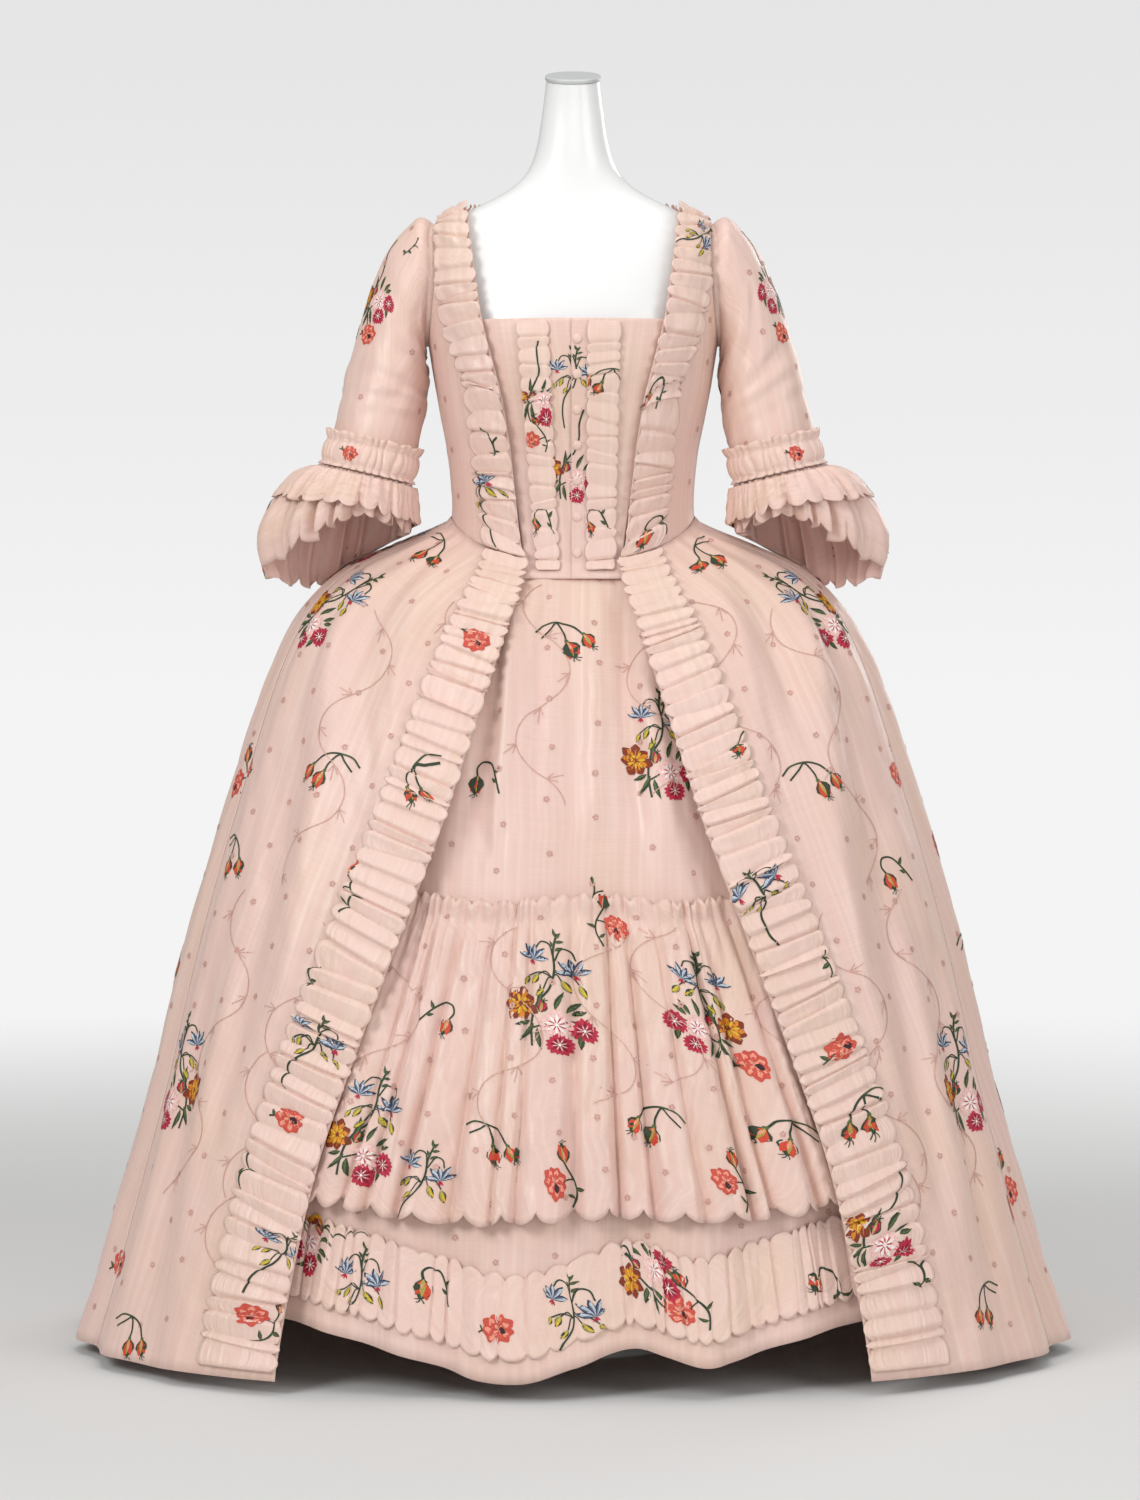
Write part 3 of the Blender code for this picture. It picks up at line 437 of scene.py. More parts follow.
def grain_of(tree: bpy.types.NodeTree, size_mm: float, detail: float) -> bpy.types.NodeSocket:
    """Noise of that size on Object coordinates."""
    where = node(tree, "ShaderNodeTexCoord").outputs["Object"]
    where = node(tree, "ShaderNodeMapping", Vector=where, Scale=(1000 / size_mm,) * 3).outputs[0]
    return node(tree, "ShaderNodeTexNoise", Vector=where, Scale=1.0, Detail=detail).outputs["Fac"]


@dataclass(frozen=True)
class Taffeta:
    """Figured silk taffeta, woven: a crisp plain weave whose fine cross rib catches the light in a soft
    satiny bloom, with slubs along the weft, faint streaks along the warp and an uneven, aged tint."""

    name: str
    ground: str = "#e6c4b9"
    streak: str = "#f0d9cc"
    aged: str = "#e2c2ac"
    thread_mm: float = 1.1       # real threads are 0.15 mm apart; drawn coarser so that they show
    slub_mm: float = 9.0
    streak_mm: float = 7.0
    cloud_mm: float = 160.0
    roughness: float = 0.42
    relief: float = 0.07
    rumple: float = 0.22         # the papery unevenness of crisp silk
    rumple_mm: float = 62.0

    def make(self) -> bpy.types.Material:
        """The material; its patterns follow the UV map "cut", which is the flat cloth in metres."""
        made, tree, shader = fresh(self.name)
        cut = node(tree, "ShaderNodeUVMap", {"uv_map": "cut"}).outputs["UV"]

        def noise(across_mm: float, along_mm: float, detail: float) -> bpy.types.NodeSocket:
            scaled = node(tree, "ShaderNodeMapping", Vector=cut,
                          Scale=(1000 / across_mm, 1000 / along_mm, 1.0)).outputs[0]
            return node(tree, "ShaderNodeTexNoise", Vector=scaled, Scale=1.0, Detail=detail).outputs["Fac"]

        def ramp(value: bpy.types.NodeSocket, low: float, high: float, to: float) -> bpy.types.NodeSocket:
            return node(tree, "ShaderNodeMapRange", i0=value, i1=low, i2=high, i3=0.0, i4=to).outputs[0]

        clouds = noise(self.cloud_mm, self.cloud_mm * 1.4, 3.0)
        streaks = noise(self.streak_mm, self.streak_mm * 60, 2.0)
        slubs = noise(self.slub_mm * 9, self.slub_mm * 0.14, 2.0)
        tint = node(tree, "ShaderNodeMix", {"data_type": "RGBA"}, i0=ramp(clouds, 0.42, 0.72, 0.75),
                    i6=linear(self.ground), i7=linear(self.aged)).outputs[2]
        tint = node(tree, "ShaderNodeMix", {"data_type": "RGBA"}, i0=ramp(streaks, 0.45, 0.75, 0.50),
                    i6=tint, i7=linear(self.streak)).outputs[2]
        shade = node(tree, "ShaderNodeMapRange", i0=slubs, i1=0.25, i2=0.75, i3=0.955, i4=1.02).outputs[0]
        colour = node(tree, "ShaderNodeVectorMath", {"operation": "SCALE"}, i0=tint, Scale=shade).outputs[0]
        gloss = node(tree, "ShaderNodeMapRange", i0=streaks, i1=0.3, i2=0.7,
                     i3=self.roughness + 0.06, i4=self.roughness - 0.05).outputs[0]
        rib = node(tree, "ShaderNodeMapping", Vector=cut, Scale=(1.0, 1000 / self.thread_mm, 1.0)).outputs[0]
        rib = node(tree, "ShaderNodeTexWave", {"bands_direction": "Y"}, Vector=rib, Scale=0.31,
                   Distortion=1.2, Detail=1.0).outputs["Fac"]
        height = node(tree, "ShaderNodeMath", {"operation": "MULTIPLY_ADD"}, i0=rib, i1=0.25,
                      i2=slubs).outputs[0]
        paper = noise(self.rumple_mm, self.rumple_mm * 1.5, 3.0)
        bump = node(tree, "ShaderNodeBump", Height=paper, Strength=self.rumple, Distance=0.012).outputs[0]
        bump = node(tree, "ShaderNodeBump", Height=height, Strength=self.relief, Distance=0.0006,
                    Normal=bump).outputs[0]
        wire(tree, shader, Base_Color=colour, Roughness=gloss, Normal=bump, Specular_IOR_Level=0.42,
             Sheen_Weight=0.22, Sheen_Roughness=0.40, Sheen_Tint=linear("#fff0ea"))
        return made


@dataclass(frozen=True)
class SilkThread:
    """Silk brocading thread, floated on the weave: a little brighter and rougher than the ground, in
    the colours of each mesh's attribute "thread"."""

    name: str = "silk thread brocaded"
    roughness: float = 0.55
    float_mm: float = 1.6        # real floats are 0.4 mm wide; drawn coarser so that they show

    def make(self) -> bpy.types.Material:
        """The material."""
        made, tree, shader = fresh(self.name)
        colour = node(tree, "ShaderNodeAttribute", {"attribute_name": "thread"}).outputs["Color"]
        grain = grain_of(tree, self.float_mm, 1.0)
        shade = node(tree, "ShaderNodeMapRange", i0=grain, i1=0.3, i2=0.7, i3=0.80, i4=1.18).outputs[0]
        tinted = node(tree, "ShaderNodeVectorMath", {"operation": "SCALE"}, i0=colour, Scale=shade).outputs[0]
        wire(tree, shader, Base_Color=tinted, Roughness=self.roughness, Specular_IOR_Level=0.30)
        return made


@dataclass(frozen=True)
class Solid:
    """A plain hard finish with a faint unevenness: lacquered resin or painted steel."""

    name: str
    colour: str
    roughness: float
    metallic: float = 0.0
    coat: float = 0.0
    grain_mm: float = 14.0
    relief: float = 0.03

    def make(self) -> bpy.types.Material:
        """The material."""
        made, tree, shader = fresh(self.name)
        grain = grain_of(tree, self.grain_mm, 3.0)
        rough = node(tree, "ShaderNodeMapRange", i0=grain, i1=0.3, i2=0.7, i3=self.roughness - 0.04,
                     i4=self.roughness + 0.05).outputs[0]
        bump = node(tree, "ShaderNodeBump", Height=grain, Strength=self.relief, Distance=0.001).outputs[0]
        wire(tree, shader, Base_Color=linear(self.colour), Roughness=rough, Normal=bump,
             Metallic=self.metallic, Coat_Weight=self.coat)
        return made


class Finish(Enum):
    """Every finish on the gown and its form."""

    GROUND = Taffeta("silk taffeta woven")
    TRIM = Taffeta("silk taffeta woven, gathered trims", ground="#ebcabe", streak="#f2dbcf", aged="#e6c9b4",
                   rumple=0.26, rumple_mm=34.0)
    # Painted light: the inner face of the sleeve flounces is the same silk drawn lighter than the ground. It
    # stands in for light that the flounce's shaded hollow does not get.
    UNFADED = Taffeta("silk taffeta woven, unfaded inside", ground="#f6d2c7", streak="#f8dacf",
                      aged="#eec6b8")
    THREAD = SilkThread()
    ENAMEL = Solid("polyester resin lacquered white", "#f1f1f0", 0.34, coat=0.35)
    STEEL = Solid("steel painted grey satin", "#c6c9c7", 0.42, metallic=0.10, grain_mm=3.0)

    @property
    def material(self) -> bpy.types.Material:
        """The finish's material, made once."""
        return bpy.data.materials.get(self.value.name) or self.value.make()


# Cloth as grids of points.

@dataclass
class Sheet:
    """A piece of cloth. Seen from outside, its rows run down and its columns from left to right."""

    name: str
    points: Array
    closed: bool = False
    flat: Array = field(init=False)

    def __post_init__(self) -> None:
        """Works out where each point lies in the flat piece, in metres: across, then down as negative."""
        around = self.around
        p, q = run_length(around, 1), run_length(around, 0)
        self.flat = np.stack([p - p[:, -1:] / 2, -q], axis=-1)

    @property
    def around(self) -> Array:
        """The points, with the first column again at the end of a closed sheet."""
        return np.concatenate([self.points, self.points[:, :1]], axis=1) if self.closed else self.points

    @property
    def size(self) -> tuple[float, float, float]:
        """The flat piece's width, length and area."""
        width, length = float(np.ptp(self.flat[..., 0], axis=1).max()), float(-self.flat[..., 1].min())
        around = self.around
        a, b = around[1:, :-1] - around[:-1, :-1], around[:-1, 1:] - around[:-1, :-1]
        c, d = around[1:, 1:] - around[1:, :-1], around[1:, 1:] - around[:-1, 1:]
        area = sum(float(np.linalg.norm(np.cross(*pair), axis=-1).sum()) / 2 for pair in ((a, b), (c, d)))
        return width, length, min(area, width * length)

    def normals(self) -> Array:
        """The outward normal at each point."""
        down = np.gradient(self.points, axis=0)
        if self.closed:
            across = np.roll(self.points, -1, axis=1) - np.roll(self.points, 1, axis=1)
        else:
            across = np.gradient(self.points, axis=1)
        return unit(np.cross(down, across))

    def pressed(self, depth: Array) -> "Sheet":
        """The sheet with each point moved out by that depth."""
        return Sheet(self.name, self.points + self.normals() * depth[..., None], self.closed)

    def at(self, row: Array, column: Array, values: Array) -> Array:
        """Values of the grid at rows and columns that may lie between its own."""
        rows, columns = values.shape[:2]
        row = np.clip(row, 0, rows - 1)
        column = np.mod(column, columns) if self.closed else np.clip(column, 0, columns - 1)
        r, c = np.minimum(row.astype(int), rows - 2), column.astype(int)
        c = c if self.closed else np.minimum(c, columns - 2)
        after = (c + 1) % columns
        s, t = (row - r)[..., None], (column - c)[..., None]
        return ((values[r, c] * (1 - t) + values[r, after] * t) * (1 - s)
                + (values[r + 1, c] * (1 - t) + values[r + 1, after] * t) * s)

    def nearest(self, x: float, z: float, facing: int = -1) -> tuple[float, float]:
        """The row and column of the point nearest to that place, seen from the front (-1) or the back."""
        far = (self.points[..., 0] - x) ** 2 + (self.points[..., 2] - z) ** 2
        far = far + np.where(self.normals()[..., 1] * facing > 0, 0.0, 9.0)
        row, column = np.unravel_index(int(np.argmin(far)), far.shape)
        return float(row), float(column)

    def build(self, finish: Finish, inside: Finish | None = None) -> bpy.types.Object:
        """Makes the sheet's object.

        Args:
            finish: what it is made of.
            inside: the finish of its inner face, where that differs.

        Returns:
            The object, with the UV map "cut" and its thickness inwards from the grid.
        """
        rows, columns = self.points.shape[:2]
        index = np.arange(rows * columns).reshape(rows, columns)
        index = np.concatenate([index, index[:, :1]], axis=1) if self.closed else index

        def corners(grid: Array) -> Array:
            cells = (grid[:-1, :-1], grid[1:, :-1], grid[1:, 1:], grid[:-1, 1:])
            return np.stack(cells, axis=2).reshape(-1, *grid.shape[2:])

        mesh = bpy.data.meshes.new(self.name)
        mesh.from_pydata(self.points.reshape(-1, 3).tolist(), [], corners(index).reshape(-1, 4).tolist())
        mesh.uv_layers.new(name="cut").data.foreach_set("uv", corners(self.flat).astype("f").ravel())
        mesh.shade_smooth()
        mesh.materials.append(finish.material)
        made = add(f"{self.name}_silk", mesh)
        shell = made.modifiers.new("wall", "SOLIDIFY")
        shell.thickness, shell.offset = SILK_WALL, -1.0
        if inside:
            mesh.materials.append(inside.material)
            shell.material_offset = 1
        return made


def add(name: str, mesh: bpy.types.Mesh) -> bpy.types.Object:
    """A named object of that mesh, in the scene."""
    made = bpy.data.objects.new(name, mesh)
    bpy.context.scene.collection.objects.link(made)
    return made


def mirrored(points: Array, side: int) -> Array:
    """The points as they are for side 1, the wearer's left, and their reflection for side -1."""
    return points if side > 0 else points[:, ::-1] * np.array([-1.0, 1.0, 1.0])


def gridded(surface: Surface, rows: int, columns: int) -> Array:
    """A surface(u, v) on an even grid of that many points down and across."""
    return surface(steps_across(columns), steps_down(rows))


def wander(x: Array, y: Array, seed: int, waves: int = 7) -> Array:
    """Smooth seeded unevenness, about from -1 to 1, over coordinates in its own wavelengths."""
    draw = np.random.default_rng(seed)
    total = np.zeros(np.broadcast(x, y).shape)
    for _ in range(waves):
        turn, phase, pitch = draw.uniform(0, math.pi), draw.uniform(0, 6.3), draw.uniform(0.6, 1.6)
        total = total + np.sin((x * math.cos(turn) + y * math.sin(turn)) * pitch * 6.3 + phase)
    return total / waves * 1.6


def crumple(x: Array, y: Array, seed: int) -> Array:
    """Papery creases of crisp silk, from about -1 at their sharp troughs to 0, in the same coordinates."""
    return (np.abs(wander(x, y, seed, 5)) + 0.5 * np.abs(wander(x * 2.1, y * 2.1, seed + 1, 5))) ** 0.8 - 0.7


def creased(sheet: Sheet, creases: Iterable[tuple[float, ...]], facing: int = -1) -> Array:
    """How far listed creases move each point of a sheet out.

    Args:
        sheet: the sheet.
        creases: rows of x, z, x, z, depth and width, in metres: each crease runs between two places,
            seen from the front or the back; a depth above 0 is a ridge, below 0 a trough.
        facing: -1 where they are seen from the front, 1 from the back.

    Returns:
        The distance out at each point.
    """
    flat = sheet.flat[:, :sheet.points.shape[1]]
    total = np.zeros(sheet.points.shape[:2])
    for x0, z0, x1, z1, depth, width in creases:
        ends = []
        for x, z in ((x0, z0), (x1, z1)):
            row, column = sheet.nearest(x, z, facing)
            ends.append(flat[int(row), int(column)])
        run = ends[1] - ends[0]
        share = np.clip(((flat - ends[0]) @ run) / max(run @ run, 1e-9), 0, 1)
        away = np.linalg.norm(flat - ends[0] - share[..., None] * run, axis=-1)
        swell = np.sin(np.clip(share, 0.04, 0.96) * math.pi) ** 0.6
        total += depth * swell * np.exp(-(away / width) ** 2)
    return total


# The brocaded flowers, each drawn in millimetres about its own middle.

THREADS = {name: linear(code) for name, code in {
    "dark leaf": "#33422e", "leaf": "#56673a", "yellow leaf": "#a9a24c", "yellow": "#dcb734",
    "crimson": "#b92a45", "deep crimson": "#851d33", "blush": "#eec3bd", "white": "#f4ebe4",
    "coral": "#cd5344", "light coral": "#ec9a84", "dark": "#3b2227", "iris": "#5b6680",
    "iris white": "#bcc6cf", "iris dark": "#353a4e", "rust": "#83351d", "orange": "#d88627",
    "bud": "#cf4a32", "tone": "#d0a397", "vine": "#cfa698"}.items()}
LIFT, LAYER = 0.00045, 0.00006    # how far the first layer of thread stands off the silk, and each next one


class Motif:
    """A woven flower: patches of thread, each a small grid of places, with its colour and layer."""

    def __init__(self) -> None:
        """Starts with nothing drawn."""
        self.patches: list[tuple[Array, str, int]] = []

    def petal(self, x: float, y: float, turn: float, length: float, width: float, thread: str,
              layer: int = 1, curl: float = 0.0, belly: float = 0.5) -> None:
        """Draws a petal or leaf.

        Args:
            x, y: its base.
            turn: which way it points, in degrees from upright, clockwise.
            length, width: its size.
            thread: its colour.
            layer: how many layers it lies over.
            curl: how far it bends aside, as a share of its length.
            belly: where along it is widest.
        """
        s = steps_down(5)
        t = np.array([-1.0, 0.0, 1.0])[None, :]
        half = width / 2 * np.sin(math.pi * np.clip(s, 0.03, 0.97) ** (math.log(0.5) / math.log(belly)))
        side = half * t + curl * length * s * s
        a = math.radians(turn)
        self.patches.append((np.stack([x + s * length * math.sin(a) + side * math.cos(a),
                                       y + s * length * math.cos(a) - side * math.sin(a)], axis=-1),
                             thread, layer))

    def stem(self, places: Sequence[tuple[float, float]], width: float, thread: str = "dark leaf",
             layer: int = 0) -> None:
        """Draws a stem that runs smoothly through those places."""
        p = np.array(places, dtype=float)
        ends = np.concatenate([2 * p[:1] - p[1:2], p, 2 * p[-1:] - p[-2:-1]])
        count = max(2, int(np.linalg.norm(np.diff(p, axis=0), axis=1).max() / 2.6) + 1)
        t = np.linspace(0, 1, count, endpoint=False)[:, None]
        line = [0.5 * (2 * b + (c - a) * t + (2 * a - 5 * b + 4 * c - d) * t * t
                       + (3 * b - a - 3 * c + d) * t ** 3)
                for a, b, c, d in zip(ends, ends[1:], ends[2:], ends[3:])]
        line = np.concatenate([*line, p[-1:]])
        along = unit(np.gradient(line, axis=0))
        aside = np.stack([along[:, 1], -along[:, 0]], axis=-1) * width / 2
        self.patches.append((np.stack([line - aside, line + aside], axis=1), thread, layer))

    def leaf(self, x: float, y: float, turn: float, length: float, width: float, curl: float = 0.15,
             light: str = "leaf") -> None:
        """Draws a dark leaf with a lighter half."""
        self.petal(x, y, turn, length, width, "dark leaf", 1, curl, 0.45)
        self.petal(x, y, turn + 4, length * 0.86, width * 0.42, light, 2, curl, 0.45)

    def bud(self, x: float, y: float, turn: float, size: float, flower: str = "bud") -> None:
        """Draws a hanging rosebud in its sepals, with curled tips."""
        size *= 1.22
        self.petal(x, y, turn, size, size * 0.92, "dark leaf", 1, 0.0, 0.46)
        self.petal(x, y, turn - 10, size * 0.98, size * 0.44, flower, 2, -0.06, 0.55)
        self.petal(x, y, turn + 13, size * 0.92, size * 0.40, flower, 2, 0.05, 0.55)
        self.petal(x, y, turn + 3, size * 0.60, size * 0.16, "light coral", 3, 0.0, 0.6)
        self.petal(x, y, turn - 3, size * 0.88, size * 0.20, "yellow leaf", 3, 0.0, 0.40)
        a = math.radians(turn)
        tip = (x + size * 0.92 * math.sin(a), y + size * 0.92 * math.cos(a))
        for lean in (-42, 4, 46):
            b = a + math.radians(lean)
            self.stem((tip, (tip[0] + size * 0.20 * math.sin(b), tip[1] + size * 0.20 * math.cos(b)),
                       (tip[0] + size * 0.34 * math.sin(b * 1.1), tip[1] + size * 0.30 * math.cos(b))),
                      0.9, "dark leaf", 3)

    def yellow_bud(self, x: float, y: float, turn: float, size: float) -> None:
        """Draws a closed green and yellow bud."""
        self.petal(x, y, turn, size, size * 0.52, "dark leaf", 1, 0.05, 0.45)
        self.petal(x, y, turn + 5, size * 0.90, size * 0.34, "yellow leaf", 2, 0.05, 0.42)
        self.petal(x, y, turn - 3, size * 0.96, size * 0.17, "yellow", 3, 0.05, 0.62)

    def carnation(self, x: float, y: float, radius: float, outer: str, inner: str, vein: str) -> None:
        """Draws a pinked flower with eight forked petals."""
        for k in range(8):
            turn = 45 * k + 9 * math.sin(3.1 * k)
            reach = radius * (1 + 0.10 * math.cos(2.3 * k))
            for lean in (-11, 11):
                self.petal(x, y, turn + lean, reach, radius * 0.42, outer, 1 + k % 2, 0.0, 0.72)
            self.petal(x, y, turn, reach * 0.72, radius * 0.20, inner, 3, 0.0, 0.6)
            self.petal(x, y, turn + 22, reach * 0.55, radius * 0.09, vein, 4, 0.0, 0.6)
        self.petal(x, y - radius * 0.12, 0, radius * 0.24, radius * 0.24, "white", 5)

    def iris(self, x: float, y: float, turn: float, size: float) -> None:
        """Draws a blue and white star of narrow petals with dark edges and a red heart."""
        for k, lean in enumerate((-64, -33, -6, 24, 54)):
            long = size * (0.88, 1.0, 0.90, 1.0, 0.86)[k]
            self.petal(x, y, turn + lean, long, size * 0.33, "iris dark", 1, 0.004 * lean, 0.55)
            self.petal(x, y, turn + lean + 3, long * 0.95, size * 0.19, "iris white", 2, 0.004 * lean, 0.62)
            self.petal(x, y, turn + lean - 5, long * 0.80, size * 0.09, "iris", 3, 0.004 * lean, 0.6)
        for lean in (-28, 6, 40):
            self.petal(x, y, turn + 180 + lean, size * 0.30, size * 0.10, "crimson", 4)

    def rose(self, x: float, y: float, radius: float, heart: float = 200.0) -> None:
        """Draws an open rose, its dark heart off to one side."""
        radius *= 1.15
        for k in range(9):
            reach = radius * (1 + 0.07 * math.sin(2.1 * k))
            self.petal(x, y, 40 * k + 8, reach, radius * 0.74, "coral", 1, 0.10, 0.72)
        for k in range(7):
            self.petal(x, y, 51 * k, radius * 0.80, radius * 0.40, "light coral", 2, 0.18, 0.74)
        for k in range(6):
            self.petal(x, y, 60 * k + 20, radius * 0.56, radius * 0.34, "coral", 3, -0.2, 0.7)
        for k in range(4):
            self.petal(x, y, 90 * k + 35, radius * 0.36, radius * 0.20, "light coral", 4, 0.3, 0.6)
        self.petal(x, y, heart, radius * 0.62, radius * 0.46, "dark", 5, 0.1, 0.55)

    def pansy(self, x: float, y: float, radius: float) -> None:
        """Draws a rust and orange flower with yellow touches."""
        radius *= 1.25
        for k in range(7):
            reach = radius * (1 + 0.08 * math.cos(3 * k))
            self.petal(x, y, 51.4 * k, reach, radius * 0.66, "rust", 1, 0.05, 0.7)
            self.petal(x, y, 51.4 * k + 10, radius * 0.84, radius * 0.34, "orange", 2, 0.1, 0.66)
            self.petal(x, y, 51.4 * k + 30, radius * 0.62, radius * 0.16, "yellow", 3, 0.1, 0.66)
        self.petal(x, y - radius * 0.15, 0, radius * 0.36, radius * 0.26, "rust", 4)


def bud_pair() -> Motif:
    """Two rosebuds that hang from crossing stems."""
    m = Motif()
    m.stem([(34, 9), (22, 19), (4, 21), (-10, 16), (-20, 5)], 2.1)
    m.stem([(26, 3), (14, 13), (6, 20), (-2, 8), (-4, 0)], 2.1)
    m.stem([(30, 12), (20, 20), (6, 22)], 0.9, "leaf", 1)
    m.petal(-19, 6, 230, 8, 4.5, "leaf", 1)
    m.petal(-3, 1, 205, 7, 4.5, "leaf", 1)
    m.bud(-22, 3, 212, 16)
    m.bud(-5, -3, 200, 17)
    return m


def single_bud() -> Motif:
    """One rosebud hanging from a bent stem."""
    m = Motif()
    m.stem([(17, -20), (12, -4), (4, 14), (-7, 19), (-14, 12), (-13, 2)], 2.1)
    m.leaf(9, 2, 40, 11, 4.5)
    m.leaf(13, -8, 300, 9, 4)
    m.bud(-13, 3, 184, 17)
    return m


def rose_and_bud() -> Motif:
    """An open rose with a bud on a long leafy stem."""
    m = Motif()
    m.stem([(-6, 24), (4, 12), (14, -2), (17, -16), (12, -34)], 2.1)
    m.stem([(12, 0), (4, -2), (-2, -8)], 1.7)
    m.leaf(16, -10, 52, 12, 4.5)
    m.leaf(15, -22, 290, 10, 4)
    m.bud(2, 16, 342, 17)
    m.rose(-12, -8, 14.5, 150)
    return m


def lone_rose() -> Motif:
    """An open rose with a short twig."""
    m = Motif()
    m.stem([(-22, -8), (-12, -4), (0, 0)], 2.0)
    m.leaf(-14, -5, 300, 9, 4)
    m.rose(2, 0, 15.0, 95)
    return m


def bouquet(irises: bool = True, pinks: bool = True) -> Motif:
    """The large spray: irises and closed buds above, carnations, a pansy and leaves below."""
    m = Motif()
    m.stem([(-10, -64), (-12, -40), (-8, -18), (4, 2), (8, 22), (6, 42), (9, 62)], 2.3)
    if irises:
        for y, turn in ((62, -30), (60, 24), (56, 62), (50, -52), (47, 46)):
            m.leaf(8, y - 4, turn, 9, 3.6)
        m.stem([(6, 36), (2, 48), (-7, 50), (-13, 42)], 1.7)
        m.stem([(8, 32), (14, 46), (23, 45), (27, 36)], 1.7)
        m.iris(-15, 28, 8, 19)
        m.iris(27, 20, -12, 20)
        for x, y, turn, size in ((-8, 14, 205, 13), (15, 12, 140, 15), (-2, 0, 215, 12), (-18, 10, 200, 11)):
            m.stem([(6, 14), ((6 + x) / 2, (18 + y) / 2 + 3), (x, y)], 1.4)
            m.yellow_bud(x, y, turn, size)
        m.yellow_bud(30, 10, 150, 14)
        m.stem([(8, 22), (22, 19), (30, 11)], 1.4)
    if pinks:
        for x, y, turn, size, curl in (
                (-8, -22, 22, 25, -0.3), (10, -20, 6, 21, 0.25), (20, -22, 30, 18, 0.2),
                (-10, -40, 200, 24, 0.2), (-6, -44, 178, 22, -0.2), (30, -44, 165, 15, 0.2),
                (-14, -38, 235, 16, 0.2), (24, -24, 52, 14, 0.1)):
            m.leaf(x, y, turn, size, 5.6, curl)
        m.stem([(-10, -44), (6, -36), (30, -30)], 1.8)
        m.pansy(-25, -22, 14.5)
        m.carnation(12, -36, 15, "blush", "white", "crimson")
        m.carnation(34, -38, 12.5, "crimson", "deep crimson", "blush")
        m.carnation(15, -57, 12, "crimson", "deep crimson", "blush")
        m.bud(-4, -26, 12, 11, "crimson")
    return m


def twig() -> Motif:
    """A bare forked twig with small leaves."""
    m = Motif()
    m.stem([(-12, 12), (-2, 6), (4, -4), (6, -16)], 1.9)
    m.stem([(8, 10), (3, 2), (4, -4)], 1.7)
    for x, y, turn in ((-6, 9, 300), (5, -8, 60), (5, -12, 250)):
        m.leaf(x, y, turn, 8, 3.4)
    return m


class Flower(Enum):
    """Every woven flower."""

    PAIR = "bud pair"
    BUD = "single bud"
    ROSE = "rose and bud"
    LONE = "lone rose"
    SPRAY = "bouquet"
    IRIS = "bouquet's irises"
    PINKS = "bouquet's carnations"
    TWIG = "twig"


MOTIFS: dict[Flower, Motif] = {
    Flower.PAIR: bud_pair(), Flower.BUD: single_bud(), Flower.ROSE: rose_and_bud(), Flower.LONE: lone_rose(),
    Flower.SPRAY: bouquet(), Flower.IRIS: bouquet(pinks=False), Flower.PINKS: bouquet(irises=False),
    Flower.TWIG: twig()}


